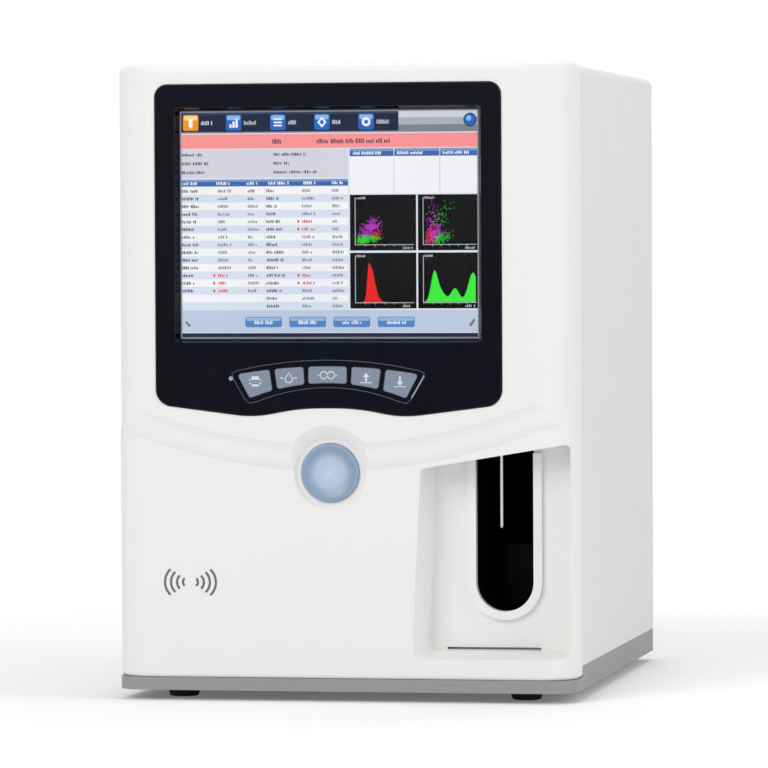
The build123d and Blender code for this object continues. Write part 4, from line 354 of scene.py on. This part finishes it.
def start_finish():
    """Start key, tinted through: a darker ring round a paler middle, with a soft change between."""
    made, nodes, links = blank("start_blue")
    skin = nodes["Principled BSDF"]
    place_in = nodes.new("ShaderNodeTexCoord").outputs["Object"]
    centre = place(PANEL_X, 0, START_Z)
    offset = nodes.new("ShaderNodeVectorMath")
    offset.operation = "SUBTRACT"
    offset.inputs[1].default_value = centre
    links.new(place_in, offset.inputs[0])
    flat = nodes.new("ShaderNodeVectorMath")
    flat.operation = "MULTIPLY"
    flat.inputs[1].default_value = (1, 0, 1)
    links.new(offset.outputs[0], flat.inputs[0])
    reach = nodes.new("ShaderNodeVectorMath")
    reach.operation = "LENGTH"
    links.new(flat.outputs[0], reach.inputs[0])
    share = nodes.new("ShaderNodeMapRange")
    share.inputs["From Max"].default_value = START_RADIUS / 1000
    links.new(reach.outputs["Value"], share.inputs["Value"])
    ramp = nodes.new("ShaderNodeValToRGB")
    stops = [
        (0.0, tone(190, 206, 226)),
        (0.5, tone(180, 197, 218)),
        (0.66, tone(146, 168, 193)),
        (0.86, tone(124, 150, 178)),
        (1.0, tone(150, 170, 193)),
    ]
    ramp.color_ramp.interpolation = "B_SPLINE"
    ramp.color_ramp.elements[0].color = stops[0][1]
    ramp.color_ramp.elements[1].position = stops[-1][0]
    ramp.color_ramp.elements[1].color = stops[-1][1]
    for position, colour in stops[1:-1]:
        ramp.color_ramp.elements.new(position).color = colour
    links.new(share.outputs["Result"], ramp.inputs["Fac"])
    links.new(ramp.outputs["Color"], skin.inputs["Base Color"])
    fine = noise_from(nodes, links, place_in, 1500, 2.0)
    links.new(between(nodes, links, fine, 0.3, 0.42), skin.inputs["Roughness"])
    return made


finishes["touch_glass"] = glass_finish()
finishes["start_blue"] = start_finish()

slot_of = {row["node"]: row["material_slot"] for row in frame["record"]["subparts"]}
for name, node in frame["nodes"].items():
    node.data.materials.clear()
    node.data.materials.append(finishes[slot_of[name]])
# The baths stand behind the slot; their near-black finish is painted shade that keeps the slot dark
frame["nodes"]["counting_baths"].data.materials[0] = shade_dark_acrylic


def paint(node_name, finish, test):
    """Gives the faces of a CAD node that pass the test another finish.

    The test takes a face's middle in the source's millimetres.
    """
    mesh = frame["nodes"][node_name].data
    mesh.materials.append(finish)
    index = len(mesh.materials) - 1
    for face in mesh.polygons:
        middle = face.center * 1000 - Vector((0, FRONT_SHIFT, 0))
        if test(middle):
            face.material_index = index


# Mesh helpers

def as_piece(name, mesh_source, finish_list, body):
    """Turns a bmesh into a piece that rides on a body."""
    mesh = bpy.data.meshes.new(name)
    bmesh.ops.recalc_face_normals(mesh_source, faces=mesh_source.faces)
    mesh_source.to_mesh(mesh)
    mesh_source.free()
    for finish in finish_list:
        mesh.materials.append(finish)
    piece = bpy.data.objects.new(name, mesh)
    scene.collection.objects.link(piece)
    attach(piece, body)


def plate(bm, points, front, back, index=0):
    """Flat closed plate with its outline given in X and Z; front and back are its Y."""
    near = [bm.verts.new(place(x, front, z)) for x, z in points]
    far = [bm.verts.new(place(x, back, z)) for x, z in points]
    faces = [bm.faces.new(near), bm.faces.new(far[::-1])]
    count = len(points)
    for k in range(count):
        faces.append(bm.faces.new((near[k], far[k], far[(k + 1) % count], near[(k + 1) % count])))
    for face in faces:
        face.material_index = index


def ribbon(bm, points, width, front, back, closed=False, index=0):
    """Closed band of even width that follows a line given in X and Z."""
    count = len(points)
    sides = []
    for k, (x, z) in enumerate(points):
        before = points[k - 1] if k or closed else points[0]
        after = points[(k + 1) % count] if k < count - 1 or closed else points[-1]
        along = Vector((after[0] - before[0], after[1] - before[1])).normalized()
        side = Vector((-along.y, along.x)) * width / 2
        sides.append(((x + side.x, z + side.y), (x - side.x, z - side.y)))
    rings = [
        [bm.verts.new(place(*p)) for p in (
            (a[0], front, a[1]), (b[0], front, b[1]), (b[0], back, b[1]), (a[0], back, a[1])
        )]
        for a, b in sides
    ]
    last = count if closed else count - 1
    for k in range(last):
        one, two = rings[k], rings[(k + 1) % count]
        for j in range(4):
            face = bm.faces.new((one[j], one[(j + 1) % 4], two[(j + 1) % 4], two[j]))
            face.material_index = index
    if not closed:
        bm.faces.new(rings[0]).material_index = index
        bm.faces.new(rings[-1][::-1]).material_index = index


def arc(cx, cz, radius, start, end, steps=24):
    """Points on a circle; the angles are in degrees, counted from +X towards +Z."""
    points = []
    for k in range(steps + 1):
        angle = math.radians(start + (end - start) * k / steps)
        points.append((cx + radius * math.cos(angle), cz + radius * math.sin(angle)))
    return points


# Screen picture, drawn in units of a 1344 x 1040 grid with its zero at the top left

GRID_WIDTH = 1344
UNIT = SCREEN_WIDTH / GRID_WIDTH
LAYER = 0.03


def glow(name, red, green, blue, strength=0.92):
    """One colour of the lit picture, with the slight unevenness of a backlight."""
    made, nodes, links = blank("picture_" + name)
    skin = nodes["Principled BSDF"]
    place_in = nodes.new("ShaderNodeTexCoord").outputs["Object"]
    slow = noise_from(nodes, links, place_in, 9, 2.0)
    colour = tone(red, green, blue)
    uneven = two_tones(nodes, links, slow, shade(colour, 0.95), shade(colour, 1.02))
    links.new(uneven, skin.inputs["Emission Color"])
    skin.inputs["Emission Strength"].default_value = strength
    skin.inputs["Base Color"].default_value = shade(colour, 0.06)
    skin.inputs["Roughness"].default_value = 0.5
    skin.inputs["Specular IOR Level"].default_value = 0.1
    return made


PALETTE = {
    "sheet": (226, 230, 240), "bar_light": (214, 217, 222), "bar_mid": (176, 181, 190),
    "bar_dark": (128, 134, 146), "navy": (30, 37, 62), "navy_light": (56, 66, 100),
    "orange": (244, 152, 30), "orange_pale": (255, 214, 130), "tile": (36, 104, 196),
    "tile_pale": (140, 190, 240), "pink": (255, 152, 152), "ink": (60, 58, 72),
    "pale_ink": (206, 212, 224), "lilac": (216, 215, 226), "header": (62, 104, 172),
    "header_pale": (120, 156, 206), "row_white": (246, 247, 251), "row_blue": (218, 228, 244),
    "value": (120, 122, 140), "red": (226, 44, 44), "black": (2, 2, 4), "axis": (190, 194, 200),
    "magenta": (196, 60, 206), "green": (36, 214, 46), "bright_green": (60, 240, 60),
    "peak_red": (238, 34, 30), "foot": (192, 206, 228), "button": (84, 134, 200),
    "button_pale": (150, 186, 228), "strip": (34, 42, 70),
}
palette_names = list(PALETTE)
picture = bmesh.new()


def spot(ux, uy):
    return (PANEL_X - SCREEN_WIDTH / 2 + ux * UNIT, SCREEN_Z + SCREEN_HEIGHT / 2 - uy * UNIT)


def draw(points, colour, layer):
    """One flat shape of the picture; its points are in grid units."""
    flat = [spot(x, y) for x, y in points]
    area = sum(a[0] * b[1] - b[0] * a[1] for a, b in zip(flat, flat[1:] + flat[:1]))
    if area < 0:
        flat.reverse()
    front = LCD_FACE_Y - 0.05 - layer * LAYER
    plate(picture, flat, front, LCD_FACE_Y - 0.02, palette_names.index(colour))


def box(x0, y0, x1, y1, colour, layer):
    draw([(x0, y0), (x1, y0), (x1, y1), (x0, y1)], colour, layer)


def soft_box(x0, y0, x1, y1, colour, layer, radius):
    points = []
    for cx, cy, start in ((x1 - radius, y0 + radius, -90), (x1 - radius, y1 - radius, 0),
                          (x0 + radius, y1 - radius, 90), (x0 + radius, y0 + radius, 180)):
        points += arc(cx, cy, radius, start, start + 90, 4)
    draw(points, colour, layer)


draws = random.Random(7)


def words(x, y, length, colour, layer, height=13):
    """Greeked writing: groups of small strokes that read as a line of small print."""
    end = x + length
    while x < end - 4:
        group = min(end, x + draws.uniform(26, 60))
        while x < group - 3:
            stroke = draws.uniform(3.0, 6.0)
            low = draws.choice((0.0, 0.0, 0.3))
            box(x, y - height * (0.5 - low), min(x + stroke, group), y + height / 2, colour, layer)
            x += stroke + draws.uniform(2.2, 3.6)
        x += draws.uniform(5, 9)


box(0, 0, GRID_WIDTH, 1040, "sheet", 0)
# top bar with five tabs
box(0, 0, GRID_WIDTH, 34, "bar_light", 1)
box(0, 34, GRID_WIDTH, 66, "bar_mid", 1)
box(0, 66, GRID_WIDTH, 98, "bar_dark", 1)
box(0, 4, 985, 92, "navy", 2)
box(0, 4, 985, 16, "navy_light", 3)
for index, (left, label) in enumerate(((12, 56), (207, 54), (407, 40), (606, 38), (805, 66))):
    tile = "orange" if index == 0 else "tile"
    pale = "orange_pale" if index == 0 else "tile_pale"
    soft_box(left, 16, left + 70, 86, tile, 3, 8)
    soft_box(left + 5, 20, left + 65, 40, pale, 4, 5)
    if index == 0:
        tube = [(left + 26, 34), (left + 44, 34), (left + 44, 66), (left + 35, 78), (left + 26, 66)]
        draw(tube, "row_white", 5)
    elif index == 1:
        for bar in range(3):
            box(left + 16 + bar * 14, 70 - 12 * (bar + 1), left + 26 + bar * 14, 74, "row_white", 5)
    elif index == 2:
        for bar in range(3):
            box(left + 16, 34 + bar * 14, left + 54, 41 + bar * 14, "row_white", 5)
    elif index == 3:
        draw([(left + 35, 28), (left + 56, 52), (left + 35, 76), (left + 14, 52)], "row_white", 5)
        draw([(left + 35, 40), (left + 46, 52), (left + 35, 64), (left + 24, 52)], "tile", 6)
    else:
        draw(arc(left + 35, 52, 20, 0, 340, 17), "row_white", 5)
        draw(arc(left + 35, 52, 9, 0, 340, 14), "tile", 6)
    words(left + 82, 52, label, "pale_ink", 4, 18)
draw(arc(1305, 46, 30, 0, 350, 24), "navy", 2)
draw(arc(1305, 46, 26, 0, 350, 24), "tile", 3)
draw(arc(1299, 40, 12, 0, 340, 16), "tile_pale", 4)
# message line
box(0, 103, GRID_WIDTH, 166, "pink", 1)
words(417, 136, 46, "ink", 3, 20)
words(617, 136, 330, "ink", 3, 20)
# sample lines
box(0, 170, 757, 296, "lilac", 1)
for line, (first, second) in enumerate(((96, 150), (120, 70), (106, 196))):
    words(6, 193 + line * 39, first, "ink", 3)
    words(422, 193 + line * 39, second, "ink", 3)
box(765, 170, GRID_WIDTH - 2, 204, "header", 1)
box(765, 170, GRID_WIDTH - 2, 182, "header_pale", 2)
for edge in (962, 1167):
    box(edge, 170, edge + 4, 366, "bar_light", 3)
for left, length in ((780, 130), (978, 120), (1182, 120)):
    words(left, 190, length, "row_white", 4)
box(765, 204, GRID_WIDTH - 2, 368, "row_white", 1)
# result table
box(0, 303, 757, 333, "header", 1)
box(0, 303, 757, 313, "header_pale", 2)
for left, length in ((8, 70), (162, 60), (300, 50), (398, 96), (556, 54), (684, 50)):
    words(left, 320, length, "row_white", 4)
ROW_PITCH = 34
for row in range(16):
    top = 337 + row * ROW_PITCH
    for left, right_end, rows in ((0, 378, 14), (382, 757, 16)):
        box(left, top, right_end, top + ROW_PITCH - 1, "row_blue" if row % 2 else "row_white", 1)
        if row >= rows:
            continue
        flagged = (left == 0 and row >= 11) or (left > 0 and row in (4, 5, 11, 12))
        middle = top + ROW_PITCH / 2
        words(left + 6, middle, draws.uniform(44, 84), "ink", 3)
        words(left + 168, middle, draws.uniform(44, 62), "red" if flagged else "value", 3)
        words(left + 304, middle, draws.uniform(22, 56), "value", 3)
        if flagged:
            box(left + 146, middle - 6, left + 154, middle + 6, "red", 3)
# four plots
plots = [(765, 374, 1062, 620), (1070, 374, 1341, 620), (765, 630, 1062, 876), (1070, 630, 1341, 876)]
for x0, y0, x1, y1 in plots:
    box(x0, y0, x1, y1, "black", 1)
    box(x0 + 22, y0 + 12, x0 + 25, y1 - 24, "axis", 3)
    box(x0 + 22, y1 - 27, x1 - 10, y1 - 24, "axis", 3)
    words(x0 + 30, y0 + 14, 40, "axis", 3, 10)
    words(x1 - 60, y1 - 11, 44, "axis", 3, 10)
    for tick in range(1, 6):
        across = x0 + 25 + tick * (x1 - x0 - 40) / 6
        box(across, y1 - 24, across + 3, y1 - 18, "axis", 3)


def cloud(plot, cx, cy, spread_x, spread_y, lean, count, colour):
    """Scatter of small dots; the centre and the spread are shares of the plot."""
    x0, y0, x1, y1 = plots[plot]
    for _ in range(count):
        dx, dy = draws.gauss(0, spread_x), draws.gauss(0, spread_y)
        x = x0 + 25 + (cx + dx) * (x1 - x0 - 40)
        y = y1 - 27 - (cy + dy + lean * dx) * (y1 - y0 - 45)
        if x0 + 27 < x < x1 - 12 and y0 + 8 < y < y1 - 32:
            box(x, y, x + 3.4, y + 3.4, colour, 4)


cloud(0, 0.13, 0.10, 0.07, 0.05, 0.2, 260, "green")
cloud(0, 0.26, 0.13, 0.09, 0.04, 0.1, 120, "green")
cloud(0, 0.24, 0.36, 0.09, 0.09, 0.5, 330, "magenta")
cloud(0, 0.35, 0.22, 0.05, 0.05, 0.3, 60, "peak_red")
cloud(1, 0.12, 0.16, 0.05, 0.11, 0.8, 200, "peak_red")
cloud(1, 0.20, 0.22, 0.07, 0.10, 0.7, 210, "magenta")
cloud(1, 0.34, 0.13, 0.10, 0.05, 0.3, 130, "green")
cloud(1, 0.16, 0.58, 0.06, 0.18, 0.3, 70, "magenta")
cloud(1, 0.36, 0.62, 0.10, 0.16, 0.6, 46, "green")


def hump_curve(plot, humps, colour):
    """Filled histogram; each hump is (middle, width, height) in shares of the plot."""
    x0, y0, x1, y1 = plots[plot]
    width, height = x1 - x0 - 40, y1 - y0 - 45
    base = y1 - 28
    steps = 64
    previous = None
    for k in range(steps + 1):
        share = k / steps
        level = sum(h * math.exp(-(((share - m) / w) ** 2)) for m, w, h in humps)
        point = (x0 + 26 + share * width, base - min(0.97, level) * height)
        if previous is not None and max(base - point[1], base - previous[1]) > 1.2:
            draw([(previous[0], base), previous, point, (point[0], base)], colour, 4)
        previous = point


hump_curve(2, [(0.27, 0.07, 0.62), (0.22, 0.035, 0.42), (0.34, 0.09, 0.16)], "peak_red")
hump_curve(3, [(0.2, 0.09, 0.62), (0.33, 0.12, 0.22), (0.6, 0.11, 0.3), (0.95, 0.13, 0.64)], "bright_green")
# foot of the page with its buttons
box(0, 883, GRID_WIDTH, 980, "foot", 1)
for left in (290, 489, 688, 888):
    soft_box(left, 912, left + 166, 958, "button", 2, 10)
    soft_box(left + 4, 915, left + 162, 930, "button_pale", 3, 6)
    words(left + 42, 937, 84, "row_white", 5, 15)
draw([(22, 930), (44, 950), (36, 958), (16, 936)], "value", 3)
draw([(1296, 950), (1318, 920), (1326, 928), (1306, 956)], "value", 3)
box(0, 984, GRID_WIDTH, 1040, "strip", 1)
words(8, 1012, 160, "pale_ink", 3)
words(330, 1012, 200, "pale_ink", 3)
words(752, 1012, 250, "pale_ink", 3)
words(1176, 1012, 156, "pale_ink", 3)
as_piece("screen_picture", picture, [glow(n, *PALETTE[n]) for n in palette_names], "housing")


# Prints on the bezel, the keys and the cover, and painted highlights round the screen and on the key line

# Width and thickness of the painted highlight round the screen opening
HIGHLIGHT_WIDTH = 1.0
HIGHLIGHT_THICK = 0.3


def screen_edge_highlight():
    """Painted highlight: thin mitred silver strip round the screen opening, standing for the light on the
    opening's inner bevel.
    """
    bm = bmesh.new()
    width, front = HIGHLIGHT_WIDTH, HIGHLIGHT_Y - HIGHLIGHT_THICK - 0.01
    x0, x1 = PANEL_X - SCREEN_WIDTH / 2, PANEL_X + SCREEN_WIDTH / 2
    z0, z1 = SCREEN_Z - SCREEN_HEIGHT / 2, SCREEN_Z + SCREEN_HEIGHT / 2
    outer = [(x0, z0), (x1, z0), (x1, z1), (x0, z1)]
    a0, a1, c0, c1 = x0 + width, x1 - width, z0 + width, z1 - width
    inner = [(a0, c0), (a1, c0), (a1, c1), (a0, c1)]
    for k in range(4):
        j = (k + 1) % 4
        plate(bm, [outer[k], outer[j], inner[j], inner[k]], front, front + HIGHLIGHT_THICK)
    as_piece("screen_edge_highlight", bm, [highlight_silver], "housing")


screen_edge_highlight()

# Line round the five keys: two shallow bows, joined by slanted ends
lines = bmesh.new()
top_line = [(PANEL_X + x, 237.9 - 7.5 * (x / 65) ** 2) for x in range(-64, 66, 4)]
low_line = [(PANEL_X + x, 218.9 - 10.1 * (x / 51) ** 2) for x in range(-50, 52, 4)]
outline_points = top_line + [(PANEL_X + 68, 229), (PANEL_X + 67, 225)] + [
    (PANEL_X + 59, 211), (PANEL_X + 55.5, 208)] + low_line[::-1] + [
    (PANEL_X - 55.5, 208), (PANEL_X - 59, 211), (PANEL_X - 67, 225), (PANEL_X - 68, 229)]
ribbon(lines, outline_points, 0.45, BEZEL_Y - 0.04, BEZEL_Y + 0.04, closed=True)
as_piece("key_outline", lines, [line_grey], "housing")

# Painted highlight: a bright slanted stroke where light catches the right end of the line round the keys
slash = bmesh.new()
gleam_line = [(58.9, 227.2), (57.9, 225.2), (51.6, 214.4), (50.0, 211.8)]
ribbon(slash, gleam_line, 1.0, BEZEL_Y - 0.05, BEZEL_Y + 0.04)
as_piece("key_outline_gleam", slash, [highlight_silver], "housing")

KEY_MIDDLES = {
    "print_key": (-60.1, 223.2), "flush_key": (-36.3, 225.6), "mode_key": (-9.0, 227.5),
    "prime_key": (18.3, 225.6), "drain_key": (42.1, 223.2),
}


def key_sign(name, x, z):
    """Small generic sign on a key."""
    bm = bmesh.new()
    front, back = KEY_Y - 0.04, KEY_Y + 0.03

    def bar(x0, z0, x1, z1):
        plate(bm, [(x + x0, z + z0), (x + x1, z + z0), (x + x1, z + z1), (x + x0, z + z1)], front, back)

    def line(points, width=0.7, closed=False):
        ribbon(bm, [(x + a, z + b) for a, b in points], width, front, back, closed)

    if name == "print_key":
        line([(-4, -1.6), (4, -1.6), (4, 1.4), (-4, 1.4)], closed=True)
        bar(-2.6, 1.75, 2.6, 3.6)
        bar(-2.6, -3.6, 2.6, -0.9)
    elif name == "flush_key":
        line([(0, 3.6)] + arc(0, -0.9, 2.5, 150, 390, 20), closed=True)
        bar(-6.0, -0.4, -3.6, 0.4)
        bar(3.6, -0.4, 6.0, 0.4)
    elif name == "mode_key":
        line(arc(-2.6, 0, 2.5, 0, 350, 24), closed=True)
        line(arc(2.6, 0, 2.5, 0, 350, 24), closed=True)
        bar(-7.0, -0.4, -5.9, 0.4)
        bar(5.9, -0.4, 7.0, 0.4)
    elif name == "prime_key":
        plate(bm, [(x - 2.4, z + 0.6), (x + 2.4, z + 0.6), (x, z + 3.6)], front, back)
        bar(-0.7, -3.2, 0.7, 0.5)
        bar(-4.2, -3.6, 4.2, -2.9)
    else:
        plate(bm, [(x - 2.4, z - 0.2), (x, z - 3.2), (x + 2.4, z - 0.2)], front, back)
        bar(-0.7, -0.1, 0.7, 3.6)
        bar(-4.2, -3.9, 4.2, -3.3)
    as_piece("sign_" + name, bm, [sign_pale], name)


for key_name, (key_x, key_z) in KEY_MIDDLES.items():
    key_sign(key_name, key_x, key_z)

# Wireless sign: four arcs on each side of its middle, each with half its height and a bend
waves = bmesh.new()
WAVE_X, WAVE_Z = -108.7, 82.7
WAVE_REACH = 18.2
WAVE_STEP = 4.3
WAVE_BEND = 1.35
WAVE_STROKE = 1.7
for index, half_height in enumerate((9.0, 7.0, 4.6, 2.6)):
    reach = WAVE_REACH - index * WAVE_STEP
    bend = half_height * WAVE_BEND
    spread = math.degrees(math.asin(half_height / bend))
    for side in (-1, 1):
        middle = WAVE_X + side * (reach - bend)
        first = 180 - spread if side < 0 else -spread
        line = arc(middle, WAVE_Z, bend, first, first + 2 * spread, 18)
        ribbon(waves, line, WAVE_STROKE, LOWER_Y - 0.05, LOWER_Y + 0.05)
as_piece("wireless_sign", waves, [print_grey], "housing")


# Back of the instrument: contacts, tongues and painted shade in the screw recesses

def block(bm, x0, x1, y0, y1, z0, z1, index=0):
    """Box given by its two ends along each axis."""
    plate(bm, [(x0, z0), (x1, z0), (x1, z1), (x0, z1)], y0, y1, index)


def inlet_pin(middle):
    """Faces of the three blades in the inlet's recess."""
    x, y, z = abs(middle.x - INLET_X), middle.y - BODY_DEPTH, abs(middle.z - INLET_Z)
    return (abs(x - 7) < 1.05 or x < 1.05) and z < 7 and -17.5 < y < -2.5


paint("mains_inlet", finishes["screw_steel"], inlet_pin)

inserts = bmesh.new()
SHELL_FLOOR = BODY_DEPTH - 11.9
LAN, USB_HIGH, SERIAL, USB_LOW = PORT_ROWS
CONTACT_COUNT = 8
CONTACT_PITCH = 1.1
PIN_PITCH = 2.8
for index in range(CONTACT_COUNT):
    x = PORT_X + (index - (CONTACT_COUNT - 1) / 2) * CONTACT_PITCH
    block(inserts, x - 0.22, x + 0.22, BODY_DEPTH - 11.5, BODY_DEPTH - 3, LAN + 3.6, LAN + 4.1, 1)
block(inserts, PORT_X - 5.2, PORT_X + 5.2, SHELL_FLOOR, BODY_DEPTH - 10.9, LAN - 6.2, LAN + 6.2, 0)
for row in (USB_HIGH, USB_LOW):
    for middle in (row - 2.9, row + 2.9):
        block(inserts, PORT_X - 5.6, PORT_X + 5.6, SHELL_FLOOR, BODY_DEPTH - 2, middle - 0.9, middle + 0.9, 2)
    block(inserts, PORT_X - 6.9, PORT_X + 6.9, SHELL_FLOOR, BODY_DEPTH - 0.2, row - 0.35, row + 0.35, 3)
block(inserts, PORT_X - 14.4, PORT_X + 14.4, SHELL_FLOOR, BODY_DEPTH - 5.2, SERIAL - 5.1, SERIAL + 5.1, 0)
for count, shift, z in ((5, 0.0, SERIAL + 1.5), (4, 0.5, SERIAL - 1.5)):
    for index in range(count):
        x = PORT_X + (index + shift - 2) * PIN_PITCH
        plate(inserts, arc(x, z, 0.5, 0, 315, 7), BODY_DEPTH - 0.6, BODY_DEPTH - 5.4, 1)
insert_finishes = [
    finishes["inlet_black"], contact_gold, finishes["white_part"], finishes["port_metal"],
]
as_piece("port_inserts", inserts, insert_finishes, "housing")


def screw_cross_shade(bm, x, z, seat):
    """Painted shade in a screw's cross recess: a dark cross of four arms that follow the head's cone."""
    half, reach = 0.32, 1.75
    peak, low, floor_height = 2.03, 1.45, 1.1
    arm = ((0, -half, peak), (reach, -half, low), (reach, half, low), (0, half, peak))
    for dx, dz in ((1, 0), (0, 1), (-1, 0), (0, -1)):
        top = []
        foot = []
        for along, across, height in arm:
            px = x + dx * along - dz * across
            pz = z + dz * along + dx * across
            top.append(bm.verts.new(place(px, seat + height, pz)))
            foot.append(bm.verts.new(place(px, seat + floor_height, pz)))
        bm.faces.new(top)
        bm.faces.new(foot[::-1])
        for k in range(4):
            bm.faces.new((top[k], foot[k], foot[(k + 1) % 4], top[(k + 1) % 4]))


crosses = bmesh.new()
for screw_x, screw_z, seat in SCREW_SEATS:
    screw_cross_shade(crosses, screw_x, screw_z, seat)
as_piece("screw_cross_shades", crosses, [finishes["inlet_black"]], "housing")


# Floor

# Half its side in metres, and the distances over which it turns white
FLOOR_HALF = 30
FLOOR_DROP = 0.0002
FLOOR_GLOW = 0.13
SHADOW_REACH = (0.28, 0.9)


def floor_finish():
    """Pale studio floor: it shows the shadow near the object and is white further out."""
    made, nodes, links = blank("studio_floor")
    skin = nodes["Principled BSDF"]
    skin.inputs["Base Color"].default_value = (0.89, 0.895, 0.905, 1)
    skin.inputs["Roughness"].default_value = 0.9
    skin.inputs["Specular IOR Level"].default_value = 0.0
    skin.inputs["Emission Color"].default_value = (1, 1, 1, 1)
    path = nodes.new("ShaderNodeLightPath")
    amount = nodes.new("ShaderNodeMath")
    amount.operation = "MULTIPLY"
    amount.inputs[1].default_value = FLOOR_GLOW
    links.new(path.outputs["Is Camera Ray"], amount.inputs[0])
    links.new(amount.outputs[0], skin.inputs["Emission Strength"])
    white = nodes.new("ShaderNodeEmission")
    white.inputs["Color"].default_value = (1, 1, 1, 1)
    reach = nodes.new("ShaderNodeVectorMath")
    reach.operation = "LENGTH"
    links.new(nodes.new("ShaderNodeTexCoord").outputs["Object"], reach.inputs[0])
    share = nodes.new("ShaderNodeMapRange")
    share.interpolation_type = "SMOOTHSTEP"
    share.inputs["From Min"].default_value = SHADOW_REACH[0]
    share.inputs["From Max"].default_value = SHADOW_REACH[1]
    links.new(reach.outputs["Value"], share.inputs["Value"])
    camera_share = nodes.new("ShaderNodeMath")
    camera_share.operation = "MULTIPLY"
    links.new(share.outputs["Result"], camera_share.inputs[0])
    links.new(path.outputs["Is Camera Ray"], camera_share.inputs[1])
    mixed = nodes.new("ShaderNodeMixShader")
    links.new(camera_share.outputs[0], mixed.inputs[0])
    links.new(skin.outputs[0], mixed.inputs[1])
    links.new(white.outputs[0], mixed.inputs[2])
    links.new(mixed.outputs[0], nodes["Material Output"].inputs["Surface"])
    return made


floor_mesh = bmesh.new()
quarters = ((-1, -1), (1, -1), (1, 1), (-1, 1))
corners = [floor_mesh.verts.new((x * FLOOR_HALF, y * FLOOR_HALF, -FLOOR_DROP)) for x, y in quarters]
floor_mesh.faces.new(corners)
mesh = bpy.data.meshes.new("studio_floor")
floor_mesh.to_mesh(mesh)
floor_mesh.free()
mesh.materials.append(floor_finish())
floor = bpy.data.objects.new("studio_floor", mesh)
scene.collection.objects.link(floor)
